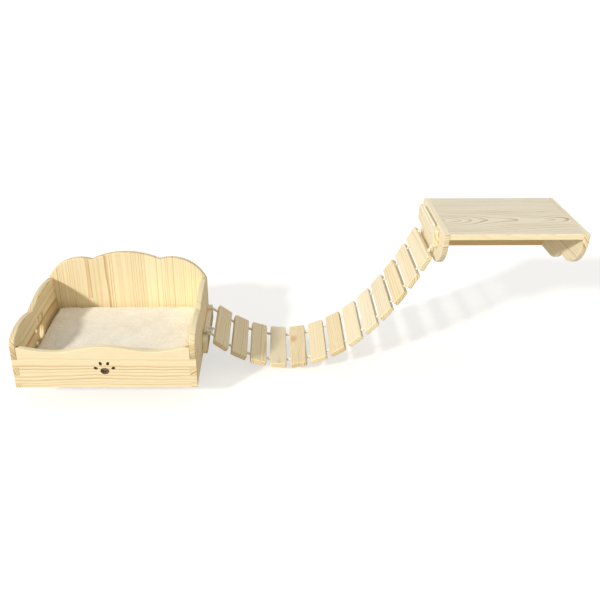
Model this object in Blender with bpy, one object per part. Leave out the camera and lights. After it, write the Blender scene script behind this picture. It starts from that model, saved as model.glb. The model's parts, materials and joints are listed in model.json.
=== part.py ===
"""A wall set for cats: an open bed box, a hanging rope bridge of slats, and a shelf on two brackets.

Metres, +Z up. The wall is the plane Y = 0 and the set stands in front of it, at Y below 0, with X along
the wall. The origin is on the bed's rear face, midway between its two hangers.
"""

import math

import bmesh
import bpy
from mathutils import Matrix, Vector

# Boards and fits
PANEL = 0.015  # thickness of every board of the bed and the shelf
CLEARANCE = 0.0003  # gap between two pieces that touch

# Bed box
BED_WIDTH = 0.450
BED_DEPTH = 0.375
MOUNT_HEIGHT = 0.110  # from the bed's underside up to the origin
FIRST_FINGER = 0.012  # height of the lowest row of the corner joints
FINGER = 0.0225  # height of each row above it
FINGER_ROWS = 5
BACK_CORNER_HEIGHT = 0.128
BACK_LOBE_HEIGHT = 0.195
BACK_LOBE_X = 0.126  # from the middle out to the top of an outer lobe
BACK_CENTRE_HEIGHT = 0.2115
BACK_CENTRE_RADIUS = 0.220
SIDE_REAR_HEIGHT = 0.146
SIDE_REAR_RADIUS = 0.386
SIDE_REAR_Y = 0.110  # from the wall out to the top of the rear lobe
SIDE_FRONT_HEIGHT = 0.144
SIDE_FRONT_RADIUS = 0.265
SIDE_FRONT_Y = 0.302  # from the wall out to the top of the front lobe
SIDE_NOSE_RADIUS = 0.018
SIDE_NOSE_HEIGHT = 0.117
FRONT_MEAN_HEIGHT = 0.107
FRONT_WAVE = 0.0075
FRONT_WAVE_LENGTH = 0.240
FLOOR_THICKNESS = 0.012
FLOOR_HEIGHT = 0.006  # from the bed's underside up to the floor's underside
GROOVE_DEPTH = 0.005

# Paw cut-outs
FRONT_PAW_HEIGHT = 0.047
FRONT_PAW_REACH = 0.023  # from the pad's middle out to each toe's
SIDE_PAW_Y = 0.175  # from the wall out to the pad
SIDE_PAW_HEIGHT = 0.0505
SIDE_PAW_REACH = 0.043
SIDE_PAW_TILT = math.radians(37)
TOE_ANGLES = (-69, -23, 23, 69)  # degrees either side of the paw's own upright
TOE_SHAPE = (0.17, 0.23)  # half width and half height of a toe, over the reach
PAD_SHAPE = (0.48, 0.40)

# Bed mat
MAT_THICKNESS = 0.026  # at its edge
MAT_CROWN = 0.010  # rise of its middle above the edge
MAT_GAP = 0.002
MAT_CORNER_RADIUS = 0.030
MAT_ROUND = 0.010  # how far the rounded edge reaches in
MAT_DRAW = 0.004  # how far a side pulls in between its corners

# Shelf
SHELF_X = 0.823  # from the middle of the bed to the shelf's left side
SHELF_WIDTH = 0.352
SHELF_DEPTH = 0.273
SHELF_TOP = 0.3615  # above the bed's underside
BRACKET_HEIGHT = 0.133
BRACKET_STRAIGHT = 0.010  # upright front edge above the nose's curve
BRACKET_NOSE_RADIUS = 0.092
BRACKET_FOOT_RADIUS = 0.064
BRACKET_FOOT_REACH = 0.083  # from the wall out to the middle of the foot's curve
DOWEL_RADIUS = 0.004
DOWEL_IN_BRACKET = 0.009
DOWEL_IN_BOARD = 0.021
DOWEL_END_DISTANCE = 0.045

# Bridge
SLAT_LENGTH = 0.210
SLAT_WIDTH = 0.044
SLAT_THICKNESS = 0.0135
SLAT_CORNER_RADIUS = 0.005
SLAT_EDGE_RADIUS = 0.0025
SLAT_GAP = 0.011
WALL_GAP = 0.015  # between the slats' rear ends and the wall
ROPE_RADIUS = 0.0035
ROPE_HOLE_RADIUS = 0.004
ROPE_INSET = 0.035  # from a slat's end to its rope hole
BED_ANCHOR_TOP = 0.0505  # above the bed's underside
SHELF_ANCHOR_DROP = 0.009  # below the shelf's top
HANG_OUT = 0.0135  # sideways from the bed anchor's middle to the first point of the hanging line
HANG_UP = 0.002
HANG_DROP = 0.0045  # from the shelf anchor's underside down to the last point of the hanging line
BRIDGE_SAG = 0.0835  # lowest point of the rope below the first point of the hanging line
FIRST_SLAT = 0.036  # along the rope from its first point to the middle of the first slat
LAST_SLAT = 0.044
ROPE_WRAP_RADIUS = 0.0041  # bend of the rope round a hole's rim
ROPE_RISE = 0.003  # straight rope above the bed anchor before it bends over
ROPE_PROUD = 0.001  # straight rope past each face of a slat

# Knot, lying on the bed anchor's upper edge
KNOT_SCALE = 0.0038
KNOT_LOBE = 2.5  # reach of the lobes against the round at the middle
KNOT_HEIGHT = 0.0055  # rise and fall of the strand from its middle level
KNOT_OPENING = 0.72  # half of the open lobe, in radians of the knot's own turn
KNOT_TAIL = 0.009
KNOT_TURN = math.radians(50)  # from the open lobe facing the front, toward the bridge

# Hangers and screws
HANGER_LENGTH = 0.050
HANGER_WIDTH = 0.016
HANGER_THICKNESS = 0.002
BED_HANGER_X = 0.150
SHELF_HANGER_X = 0.110  # from the middle of the shelf
KEYHOLE_RADIUS = 0.005
KEYHOLE_SLOT = 0.005
KEYHOLE_RISE = 0.009
POCKET_DEPTH = 0.006
HANGER_SCREW_OFFSET = 0.019
HANGER_SCREW_LENGTH = 0.010
ANCHOR_SCREW_LENGTH = 0.024
ANCHOR_SCREW_INSET = 0.070  # from a slat's end to its fixing screw
SCREW_RADIUS = 0.0018
SCREW_HEAD_RADIUS = 0.0036
SCREW_HEAD_DEPTH = 0.0022
SCREW_TIP = 0.35  # radius of the blunt point over the shank's
SCREW_HOLE_LIFT = 0.004  # how far a hole's cutter stands clear of the face
RECESS_SHAPE = (0.62, 0.13)  # reach and half width of the cross recess, over the head's radius
RECESS_DEPTH = 0.55  # over the head's depth

# Facets: sides of a round piece or hole, and steps along an edge
SMALL_ROUND = 12
PAD_SIDES = 20
KEYHOLE_SIDES = 16
HALF_ROUND_POINTS = 7
BACK_LOBE_STEPS = (10, 12, 10)
SIDE_LOBE_STEPS = (5, 10, 12)
BRACKET_LOBE_STEPS = (14, 8)
FRONT_WAVE_STEPS = 28
MAT_SIDE_STEPS = 12
MAT_CORNER_POINTS = 5
MAT_EDGE_STEPS = 6
MAT_CROWN_RINGS = (0.12, 0.32, 0.60)  # shares of the way in from the rounded edge
SLAT_CORNER_POINTS = 4
ROPE_BEND_STEPS = 3
ROPE_OVER_STEPS = 5
KNOT_STEPS = 44

BED_BOTTOM = -MOUNT_HEIGHT
BED_HALF = BED_WIDTH / 2
SHELF_TOP_Z = BED_BOTTOM + SHELF_TOP
SHELF_RIGHT = SHELF_X + SHELF_WIDTH
SHELF_MIDDLE = SHELF_X + SHELF_WIDTH / 2
SLAT_Y = -(WALL_GAP + SLAT_LENGTH / 2)
ROPE_ROWS = (SLAT_Y - SLAT_LENGTH / 2 + ROPE_INSET, SLAT_Y + SLAT_LENGTH / 2 - ROPE_INSET)
BED_ANCHOR_X = BED_HALF + CLEARANCE + SLAT_THICKNESS / 2
BED_ANCHOR_Z = BED_BOTTOM + BED_ANCHOR_TOP - SLAT_WIDTH / 2
SHELF_ANCHOR_X = SHELF_X - CLEARANCE - SLAT_THICKNESS / 2
SHELF_ANCHOR_Z = SHELF_TOP_Z - SHELF_ANCHOR_DROP - SLAT_WIDTH / 2
SHELF_HANGER_Z = SHELF_TOP_Z - (PANEL + BRACKET_HEIGHT) / 2

MATERIALS = {
    "pine": ((0.85, 0.72, 0.48, 1.0), 0.55, 0.0),
    "beech_dowel": ((0.78, 0.66, 0.45, 1.0), 0.6, 0.0),
    "cotton_rope": ((0.86, 0.83, 0.76, 1.0), 0.9, 0.0),
    "plush": ((0.84, 0.80, 0.72, 1.0), 0.95, 0.0),
    "zinc_steel": ((0.62, 0.63, 0.65, 1.0), 0.35, 1.0),
}


def clear_scene():
    for obj in list(bpy.data.objects):
        bpy.data.objects.remove(obj, do_unlink=True)


def material(name):
    found = bpy.data.materials.get(name)
    if found:
        return found
    colour, roughness, metallic = MATERIALS[name]
    made = bpy.data.materials.new(name)
    made.use_nodes = True
    shader = made.node_tree.nodes["Principled BSDF"]
    shader.inputs["Base Color"].default_value = colour
    shader.inputs["Roughness"].default_value = roughness
    shader.inputs["Metallic"].default_value = metallic
    made.diffuse_color = colour
    return made


def add_object(name, data, finish, place=None):
    obj = bpy.data.objects.new(name, data)
    if finish and not data.materials:
        data.materials.append(material(finish))
    if place is not None:
        obj.matrix_world = place
    bpy.context.scene.collection.objects.link(obj)
    return obj


def mesh_of(bm, name):
    bmesh.ops.recalc_face_normals(bm, faces=bm.faces)
    mesh = bpy.data.meshes.new(name)
    bm.to_mesh(mesh)
    bm.free()
    mesh.shade_smooth()
    mesh.set_sharp_from_angle(angle=math.radians(30))
    return mesh


def cutter(name, bm):
    obj = add_object(name, mesh_of(bm, name), None)
    obj.hide_render = True
    obj.display_type = "WIRE"
    return obj


def cut(obj, tool):
    modifier = obj.modifiers.new(tool.name, "BOOLEAN")
    modifier.operation = "DIFFERENCE"
    modifier.object = tool
    modifier.solver = "EXACT"


def baked_mesh(obj, name):
    """The object's mesh with its modifiers applied, for pieces that share one mesh."""
    bpy.context.view_layer.update()
    graph = bpy.context.evaluated_depsgraph_get()
    mesh = bpy.data.meshes.new_from_object(obj.evaluated_get(graph))
    mesh.name = name
    for user in [obj] + [modifier.object for modifier in obj.modifiers]:
        bpy.data.objects.remove(user, do_unlink=True)
    return mesh


# Axis frames: each maps an outline's (u, v) and its depth w to world X, Y, Z.
FACING_FRONT = Matrix(((1, 0, 0, 0), (0, 0, -1, 0), (0, 1, 0, 0), (0, 0, 0, 1)))  # u = X, v = Z, w = -Y
FACING_SIDE = Matrix(((0, 0, 1, 0), (1, 0, 0, 0), (0, 1, 0, 0), (0, 0, 0, 1)))  # u = Y, v = Z, w = X
FLAT = Matrix.Identity(4)  # u = X, v = Y, w = Z


def prism(bm, outline, low, high, frame=FLAT):
    """Extrudes a closed outline of (u, v) points from depth low to depth high."""
    bottom = [bm.verts.new((u, v, low)) for u, v in outline]
    face = bm.faces.new(bottom)
    walls = bmesh.ops.extrude_face_region(bm, geom=[face])
    top = [item for item in walls["geom"] if isinstance(item, bmesh.types.BMVert)]
    bmesh.ops.translate(bm, verts=top, vec=(0, 0, high - low))
    bmesh.ops.transform(bm, matrix=frame, verts=bottom + top)
    return bottom + top


def box(bm, low, high):
    size = Vector(high) - Vector(low)
    middle = (Vector(high) + Vector(low)) / 2
    bmesh.ops.create_cube(bm, size=1, matrix=Matrix.Translation(middle) @ Matrix.Diagonal(size.to_4d()))


def circle_points(centre, radius, sides, start=0.0, sweep=2 * math.pi, closed=True):
    steps = sides if closed else sides - 1
    turn = [start + sweep * step / steps for step in range(sides)]
    return [(centre[0] + radius * math.cos(a), centre[1] + radius * math.sin(a)) for a in turn]


def turned(bm, profile, sides, frame):
    """Turns a profile of (radius, depth) points, which starts and ends on the axis, about the frame's Z."""
    rings = []
    for radius, depth in profile:
        if radius == 0:
            rings.append([bm.verts.new((0, 0, depth))])
        else:
            rings.append([bm.verts.new((x, y, depth)) for x, y in circle_points((0, 0), radius, sides)])
    for lower, upper in zip(rings, rings[1:]):
        for step in range(sides):
            following = (step + 1) % sides
            corners = [lower[step % len(lower)], lower[following % len(lower)]]
            corners += [upper[following % len(upper)], upper[step % len(upper)]]
            bm.faces.new(list(dict.fromkeys(corners)))
    bmesh.ops.transform(bm, matrix=frame, verts=[vert for ring in rings for vert in ring])


def lobe_through(top, point):
    """The circle whose highest point is top and which passes through point: its centre and radius."""
    across = point[0] - top[0]
    drop = top[1] - point[1]
    radius = (across * across + drop * drop) / (2 * drop)
    return (top[0], top[1] - radius), radius


def crossing(first, second):
    """The upper of the two points where two circles cross."""
    (x1, z1), r1 = first
    (x2, z2), r2 = second
    across, up = x2 - x1, z2 - z1
    distance = math.hypot(across, up)
    along = (distance * distance + r1 * r1 - r2 * r2) / (2 * distance)
    height = math.sqrt(max(r1 * r1 - along * along, 0.0))
    middle = (x1 + across * along / distance, z1 + up * along / distance)
    ends = [
        (middle[0] - height * up / distance, middle[1] + height * across / distance),
        (middle[0] + height * up / distance, middle[1] - height * across / distance),
    ]
    return max(ends, key=lambda point: point[1])


def lobe_chain(lobes, start, end, steps):
    """Points along a scalloped edge: each circle's arc runs from one crossing to the next."""
    stops = [start] + [crossing(*pair) for pair in zip(lobes, lobes[1:])] + [end]
    points = [start]
    for (centre, radius), first, last, count in zip(lobes, stops, stops[1:], steps):
        begin = math.atan2(first[1] - centre[1], first[0] - centre[0])
        finish = math.atan2(last[1] - centre[1], last[0] - centre[0])
        for step in range(1, count + 1):
            angle = begin + (finish - begin) * step / count
            points.append((centre[0] + radius * math.cos(angle), centre[1] + radius * math.sin(angle)))
    return points


def finger_edge(owned, top):
    """Points up one end of a board, as (step back from the corner, height), for its corner joint."""
    points = [(0.0 if owned(0) else PANEL + CLEARANCE, 0.0)]
    for row in range(1, FINGER_ROWS):
        height = FIRST_FINGER + (row - 1) * FINGER
        if owned(row):
            height += CLEARANCE
        points.append((points[-1][0], height))
        points.append((0.0 if owned(row) else PANEL + CLEARANCE, height))
    points.append((points[-1][0], top))
    return points


def even(row):
    return row % 2 == 0


def odd(row):
    return row % 2 == 1


def raised(points):
    """The same outline with its heights measured from the bed's underside."""
    return [(u, BED_BOTTOM + v) for u, v in points]


def board(name, outline, low, high, frame, finish="pine"):
    bm = bmesh.new()
    prism(bm, outline, low, high, frame)
    return add_object(name, mesh_of(bm, name), finish)


def paw_cutter(name, centre, reach, tilt, low, high, frame):
    """Four toes over a pad, cut right through a board. Reach is the distance from pad to toes."""
    turn = Matrix.Rotation(tilt, 2)
    bm = bmesh.new()

    def ellipse(across, up, half_width, half_height, lean, sides):
        points = []
        for x, y in circle_points((0, 0), 1.0, sides):
            leaned = Matrix.Rotation(lean, 2) @ Vector((x * half_width, y * half_height))
            placed = turn @ (leaned + Vector((across, up)))
            points.append((centre[0] + placed.x, centre[1] + placed.y))
        prism(bm, points, low, high, frame)

    for angle in TOE_ANGLES:
        lean = math.radians(angle)
        place = Vector((math.sin(lean), math.cos(lean))) * reach
        ellipse(place.x, place.y, reach * TOE_SHAPE[0], reach * TOE_SHAPE[1], -lean, SMALL_ROUND)
    ellipse(0.0, 0.0, reach * PAD_SHAPE[0], reach * PAD_SHAPE[1], 0.0, PAD_SIDES)
    return cutter(name, bm)


def make_back_panel(groove):
    corner = (BED_HALF, BACK_CORNER_HEIGHT)
    right = lobe_through((BACK_LOBE_X, BACK_LOBE_HEIGHT), corner)
    left = lobe_through((-BACK_LOBE_X, BACK_LOBE_HEIGHT), (-BED_HALF, BACK_CORNER_HEIGHT))
    middle = ((0.0, BACK_CENTRE_HEIGHT - BACK_CENTRE_RADIUS), BACK_CENTRE_RADIUS)
    end = (-BED_HALF, BACK_CORNER_HEIGHT)
    top = lobe_chain([right, middle, left], corner, end, BACK_LOBE_STEPS)
    edge = finger_edge(even, BACK_CORNER_HEIGHT)[:-1]
    outline = [(BED_HALF - step, height) for step, height in edge] + top
    outline += [(step - BED_HALF, height) for step, height in reversed(edge)]
    panel = board("bed_back_panel", raised(outline), 0.0, PANEL, FACING_FRONT)
    cut(panel, groove)
    for side in (-1, 1):
        cut_hanger_recess(panel, f"bed_hanger_recess_{side}", side * BED_HANGER_X, 0.0)
    return panel


def make_front_panel(groove):
    limit = BED_HALF - PANEL - CLEARANCE
    steps = FRONT_WAVE_STEPS
    wave = [limit - 2 * limit * step / steps for step in range(steps + 1)]
    turn = 2 * math.pi / FRONT_WAVE_LENGTH
    top = [(x, FRONT_MEAN_HEIGHT + FRONT_WAVE * math.cos(turn * x)) for x in wave]
    edge = finger_edge(odd, top[0][1])[:-1]
    outline = [(BED_HALF - step, height) for step, height in edge] + top
    outline += [(step - BED_HALF, height) for step, height in reversed(edge)]
    panel = board("bed_front_panel", raised(outline), BED_DEPTH - PANEL, BED_DEPTH, FACING_FRONT)
    cut(panel, groove)
    paw = paw_cutter(
        "front_paw_cutter",
        (0.0, BED_BOTTOM + FRONT_PAW_HEIGHT),
        FRONT_PAW_REACH,
        0.0,
        BED_DEPTH - 2 * PANEL,
        BED_DEPTH + PANEL,
        FACING_FRONT,
    )
    cut(panel, paw)
    return panel


def make_side_panel(name, low_x, groove):
    nose = ((SIDE_NOSE_RADIUS - BED_DEPTH, SIDE_NOSE_HEIGHT), SIDE_NOSE_RADIUS)
    front = ((-SIDE_FRONT_Y, SIDE_FRONT_HEIGHT - SIDE_FRONT_RADIUS), SIDE_FRONT_RADIUS)
    rear = ((-SIDE_REAR_Y, SIDE_REAR_HEIGHT - SIDE_REAR_RADIUS), SIDE_REAR_RADIUS)
    limit = -(PANEL + CLEARANCE)
    rear_drop = SIDE_REAR_RADIUS - math.sqrt(SIDE_REAR_RADIUS**2 - (SIDE_REAR_Y + limit) ** 2)
    corner = (limit, SIDE_REAR_HEIGHT - rear_drop)
    top = lobe_chain([nose, front, rear], (-BED_DEPTH, SIDE_NOSE_HEIGHT), corner, SIDE_LOBE_STEPS)
    front_edge = finger_edge(even, SIDE_NOSE_HEIGHT)[:-1]
    rear_edge = finger_edge(odd, corner[1])[:-1]
    outline = [(step - BED_DEPTH, height) for step, height in front_edge] + top
    outline += [(-step, height) for step, height in reversed(rear_edge)]
    panel = board(name, raised(outline), low_x, low_x + PANEL, FACING_SIDE)
    cut(panel, groove)
    return panel


def cut_side_paw(panel, low_x):
    paw = paw_cutter(
        "side_paw_cutter",
        (-SIDE_PAW_Y, BED_BOTTOM + SIDE_PAW_HEIGHT),
        SIDE_PAW_REACH,
        SIDE_PAW_TILT,
        low_x - PANEL,
        low_x + 2 * PANEL,
        FACING_SIDE,
    )
    cut(panel, paw)


def make_floor():
    """The bed's floor board, whose edges sit in grooves, and the cutter that makes the grooves."""
    reach_x = BED_HALF - PANEL + GROOVE_DEPTH
    front_y = -BED_DEPTH + PANEL - GROOVE_DEPTH
    rear_y = -PANEL + GROOVE_DEPTH
    low_z = BED_BOTTOM + FLOOR_HEIGHT
    high_z = low_z + FLOOR_THICKNESS
    low = Vector((-reach_x, front_y, low_z))
    high = Vector((reach_x, rear_y, high_z))
    bm = bmesh.new()
    box(bm, low, high)
    add_object("bed_floor_board", mesh_of(bm, "bed_floor_board"), "pine")
    grown = Vector((CLEARANCE, CLEARANCE, CLEARANCE))
    bm = bmesh.new()
    box(bm, low - grown, high + grown)
    return cutter("floor_groove_cutter", bm)


def mat_ring(inset, height):
    """One level line of the mat: a rounded rectangle whose sides are drawn in between their corners."""
    half_x = BED_HALF - PANEL - MAT_GAP - inset
    half_y = BED_DEPTH / 2 - PANEL - MAT_GAP - inset
    radius = MAT_CORNER_RADIUS
    points = []
    for quarter, (sign_x, sign_y) in enumerate(((1, 1), (-1, 1), (-1, -1), (1, -1))):
        start = quarter * math.pi / 2
        centre = (sign_x * (half_x - radius), sign_y * (half_y - radius) - BED_DEPTH / 2)
        points += circle_points(centre, radius, MAT_CORNER_POINTS, start, math.pi / 2, closed=False)
        length = 2 * ((half_y if quarter in (1, 3) else half_x) - radius)
        heading = Vector((-math.cos(start), -math.sin(start)))
        inward = Vector((-heading.y, heading.x))
        begin = Vector(points[-1])
        for step in range(1, MAT_SIDE_STEPS):
            share = step / MAT_SIDE_STEPS
            place = begin + heading * length * share + inward * MAT_DRAW * math.sin(math.pi * share)
            points.append(tuple(place))
    return [(x, y, height) for x, y in points]


def make_mat():
    """A plump pad: a half-round edge all the way round, and a top that crowns toward its middle."""
    base = BED_BOTTOM + FLOOR_HEIGHT + FLOOR_THICKNESS + CLEARANCE
    levels = []
    for step in range(MAT_EDGE_STEPS + 1):
        angle = math.pi * step / MAT_EDGE_STEPS
        inset = MAT_ROUND * (1 - math.sin(angle))
        levels.append((inset, MAT_THICKNESS / 2 * (1 - math.cos(angle))))
    reach = BED_DEPTH / 2 - PANEL - MAT_GAP - MAT_CORNER_RADIUS
    for share in MAT_CROWN_RINGS:
        inset = MAT_ROUND + (reach - MAT_ROUND) * share
        levels.append((inset, MAT_THICKNESS + MAT_CROWN * math.sin(math.pi / 2 * share)))
    bm = bmesh.new()
    rings = [[bm.verts.new(point) for point in mat_ring(inset, base + height)] for inset, height in levels]
    for lower, upper in zip(rings, rings[1:]):
        for step in range(len(lower)):
            following = (step + 1) % len(lower)
            bm.faces.new((lower[step], lower[following], upper[following], upper[step]))
    for ring, height in ((rings[0], 0.0), (rings[-1], MAT_THICKNESS + MAT_CROWN)):
        centre = bm.verts.new((0.0, -BED_DEPTH / 2, base + height))
        for step in range(len(ring)):
            bm.faces.new((ring[step], ring[(step + 1) % len(ring)], centre))
    add_object("bed_mat", mesh_of(bm, "bed_mat"), "plush")


def screw_profile(length, grow):
    """Half outline of a countersunk screw with its head's face at depth 0, grown for its hole."""
    head = SCREW_HEAD_RADIUS + grow
    shank = SCREW_RADIUS + grow
    taper = shank * SCREW_TIP
    lift = -SCREW_HOLE_LIFT if grow else 0.0
    points = [(0.0, lift), (head, lift)]
    if grow:
        points.append((head, 0.0))
    points += [(shank, SCREW_HEAD_DEPTH + grow / 2), (shank, length - 2 * SCREW_RADIUS)]
    return points + [(taper, length + grow), (0.0, length + grow)]


def screw_mesh(name, length):
    bm = bmesh.new()
    turned(bm, screw_profile(length, 0.0), SMALL_ROUND, FLAT)
    screw = add_object(name, mesh_of(bm, name), "zinc_steel")
    bm = bmesh.new()
    reach, half = (SCREW_HEAD_RADIUS * share for share in RECESS_SHAPE)
    depth = SCREW_HEAD_DEPTH * RECESS_DEPTH
    arm = [(half, half), (reach, half), (reach, -half)]
    quarters = [Matrix.Rotation(-quarter * math.pi / 2, 2) for quarter in range(4)]
    cross = [tuple(turn @ Vector(point)) for turn in quarters for point in arm]
    prism(bm, cross, -depth, depth)
    cut(screw, cutter(f"{name}_recess", bm))
    return baked_mesh(screw, name)


def screw_frame(head, direction):
    """Places a screw: its head's face at head, driven along direction."""
    turn = Vector((0, 0, 1)).rotation_difference(Vector(direction)).to_matrix().to_4x4()
    return Matrix.Translation(Vector(head)) @ turn


def cut_screw_hole(obj, name, head, direction, length):
    bm = bmesh.new()
    turned(bm, screw_profile(length, CLEARANCE), SMALL_ROUND, screw_frame(head, direction))
    cut(obj, cutter(name, bm))


def hanger_outline(grow):
    """A plate with round ends, standing upright."""
    radius = HANGER_WIDTH / 2 + grow
    straight = (HANGER_LENGTH - HANGER_WIDTH) / 2
    upper = circle_points((0, straight), radius, HALF_ROUND_POINTS, 0.0, math.pi, closed=False)
    lower = circle_points((0, -straight), radius, HALF_ROUND_POINTS, math.pi, math.pi, closed=False)
    return upper + lower


def keyhole_outlines():
    """The round entry hole of a keyhole and the slot above it."""
    slot = KEYHOLE_SLOT / 2
    entry = circle_points((0, -KEYHOLE_RISE / 2), KEYHOLE_RADIUS, KEYHOLE_SIDES)
    top = circle_points((0, KEYHOLE_RISE / 2), slot, HALF_ROUND_POINTS, 0.0, math.pi, closed=False)
    return entry, top + [(-slot, -KEYHOLE_RISE / 2), (slot, -KEYHOLE_RISE / 2)]


def hanger_mesh():
    plate = board("hanger_template", hanger_outline(0.0), 0.0, HANGER_THICKNESS, FACING_FRONT, "zinc_steel")
    for index, outline in enumerate(keyhole_outlines()):
        bm = bmesh.new()
        prism(bm, outline, -HANGER_THICKNESS, 2 * HANGER_THICKNESS, FACING_FRONT)
        cut(plate, cutter(f"keyhole_{index}", bm))
    for side in (-1, 1):
        head = (0.0, 0.0, side * HANGER_SCREW_OFFSET)
        cut_screw_hole(plate, f"hanger_hole_{side}", head, (0, -1, 0), HANGER_SCREW_LENGTH)
    return baked_mesh(plate, "keyhole_hanger")


def cut_hanger_recess(panel, name, x, z):
    """Lets a hanger and its screws into a board's rear face, with room behind the keyhole."""
    place = Matrix.Translation((x, 0.0, z))
    shapes = [(hanger_outline(CLEARANCE), HANGER_THICKNESS + 2 * CLEARANCE)]
    pocket = KEYHOLE_RADIUS + 2 * CLEARANCE
    reach = KEYHOLE_RISE / 2 + KEYHOLE_RADIUS
    shapes.append(([(-pocket, -reach), (pocket, -reach), (pocket, reach), (-pocket, reach)], POCKET_DEPTH))
    for index, (outline, depth) in enumerate(shapes):
        bm = bmesh.new()
        verts = prism(bm, outline, -PANEL, depth, FACING_FRONT)
        bmesh.ops.transform(bm, matrix=place, verts=verts)
        cut(panel, cutter(f"{name}_{index}", bm))
    for side in (-1, 1):
        head = (x, -CLEARANCE, z + side * HANGER_SCREW_OFFSET)
        cut_screw_hole(panel, f"{name}_screw_{side}", head, (0, -1, 0), HANGER_SCREW_LENGTH)


def make_hangers(group, places, z, plate, screw):
    for side, x in zip(("left", "right"), places):
        add_object(f"{group}_hanger_{side}", plate, None, Matrix.Translation((x, -CLEARANCE, z)))
        for level, sign in (("lower", -1), ("upper", 1)):
            head = (x, -CLEARANCE, z + sign * HANGER_SCREW_OFFSET)
            add_object(f"{group}_hanger_screw_{side}_{level}", screw, None, screw_frame(head, (0, -1, 0)))


def bracket_outline():
    """Side view of a shelf bracket: a large front lobe and a smaller foot against the wall."""
    nose = ((BRACKET_NOSE_RADIUS - SHELF_DEPTH, -BRACKET_STRAIGHT), BRACKET_NOSE_RADIUS)
    foot = ((-BRACKET_FOOT_REACH, BRACKET_FOOT_RADIUS - BRACKET_HEIGHT), BRACKET_FOOT_RADIUS)
    upside_down = [((y, -z), radius) for (y, z), radius in (nose, foot)]
    start = (-SHELF_DEPTH, BRACKET_STRAIGHT)
    end = (-BRACKET_FOOT_REACH, BRACKET_HEIGHT)
    lower = [(y, -z) for y, z in lobe_chain(upside_down, start, end, BRACKET_LOBE_STEPS)]
    return [(0.0, 0.0), (-SHELF_DEPTH, 0.0)] + lower + [(0.0, -BRACKET_HEIGHT)]


def dowel_places():
    """Middle heights and depths of the dowels that join the shelf's boards to its brackets."""
    board_z = SHELF_TOP_Z - PANEL / 2
    places = [(-DOWEL_END_DISTANCE, board_z), (DOWEL_END_DISTANCE - SHELF_DEPTH, board_z)]
    return places + [(-PANEL / 2, SHELF_TOP_Z - BRACKET_HEIGHT + PANEL)]


def rod(bm, radius, low, high, frame):
    turned(bm, [(0.0, low), (radius, low), (radius, high), (0.0, high)], SMALL_ROUND, frame)


def make_shelf():
    inner = (SHELF_X + PANEL + CLEARANCE, SHELF_RIGHT - PANEL - CLEARANCE)
    bm = bmesh.new()
    box(bm, (inner[0], -SHELF_DEPTH, SHELF_TOP_Z - PANEL), (inner[1], 0.0, SHELF_TOP_Z))
    top = add_object("shelf_board", mesh_of(bm, "shelf_board"), "pine")
    bm = bmesh.new()
    low = (inner[0], -PANEL, SHELF_TOP_Z - BRACKET_HEIGHT)
    box(bm, low, (inner[1], 0.0, SHELF_TOP_Z - PANEL - CLEARANCE))
    back = add_object("shelf_back_board", mesh_of(bm, "shelf_back_board"), "pine")
    outline = [(y, SHELF_TOP_Z + z) for y, z in bracket_outline()]
    left = board("shelf_left_bracket", outline, SHELF_X, SHELF_X + PANEL, FACING_SIDE)
    right = board("shelf_right_bracket", outline, SHELF_RIGHT - PANEL, SHELF_RIGHT, FACING_SIDE)
    for x in (-SHELF_HANGER_X, SHELF_HANGER_X):
        cut_hanger_recess(back, f"shelf_hanger_recess_{x:+.2f}", SHELF_MIDDLE + x, SHELF_HANGER_Z)
    for side, face, inward, bracket in (
        ("left", SHELF_X + PANEL, 1, left),
        ("right", SHELF_RIGHT - PANEL, -1, right),
    ):
        turn = Matrix.Rotation(inward * math.pi / 2, 4, "Y")
        for index, (y, z) in enumerate(dowel_places()):
            place = Matrix.Translation((face, y, z)) @ turn
            name = f"shelf_dowel_{side}_{index + 1}"
            bm = bmesh.new()
            rod(bm, DOWEL_RADIUS, -DOWEL_IN_BRACKET, DOWEL_IN_BOARD, place)
            add_object(name, mesh_of(bm, name), "beech_dowel")
            bm = bmesh.new()
            ends = (-DOWEL_IN_BRACKET - CLEARANCE, DOWEL_IN_BOARD + CLEARANCE)
            rod(bm, DOWEL_RADIUS + CLEARANCE, *ends, place)
            hole = cutter(f"{name}_hole", bm)
            cut(bracket, hole)
            cut(top if index < 2 else back, hole)
    return left


def hanging_line():
    """The rope's hanging curve, as a function from distance along it to (x, z, slope), and its length."""
    start_x = BED_ANCHOR_X + HANG_OUT
    start_z = BED_BOTTOM + BED_ANCHOR_TOP + HANG_UP
    end_x = SHELF_ANCHOR_X
    end_z = SHELF_TOP_Z - SHELF_ANCHOR_DROP - SLAT_WIDTH - HANG_DROP
    deep_start = BRIDGE_SAG
    deep_end = BRIDGE_SAG + end_z - start_z
    low, high = 0.01, 100.0
    for _ in range(80):
        scale = (low + high) / 2
        reach = scale * (math.acosh(1 + deep_start / scale) + math.acosh(1 + deep_end / scale))
        if reach < end_x - start_x:
            low = scale
        else:
            high = scale
    before = scale * math.sinh(math.acosh(1 + deep_start / scale))
    after = scale * math.sinh(math.acosh(1 + deep_end / scale))
    lowest_x = start_x + scale * math.acosh(1 + deep_start / scale)
    lowest_z = start_z - deep_start

    def place(distance):
        slope = (distance - before) / scale
        x = lowest_x + scale * math.asinh(slope)
        z = lowest_z + scale * (math.sqrt(1 + slope * slope) - 1)
        return x, z, math.atan(slope)

    return place, before + after


def slat_places():
    """Middle and slope of each hanging slat, from the bed to the shelf."""
    place, length = hanging_line()
    usable = length - FIRST_SLAT - LAST_SLAT
    gaps = max(1, round(usable / (SLAT_WIDTH + SLAT_GAP)))
    return [place(FIRST_SLAT + usable * index / gaps) for index in range(gaps + 1)]


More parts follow.
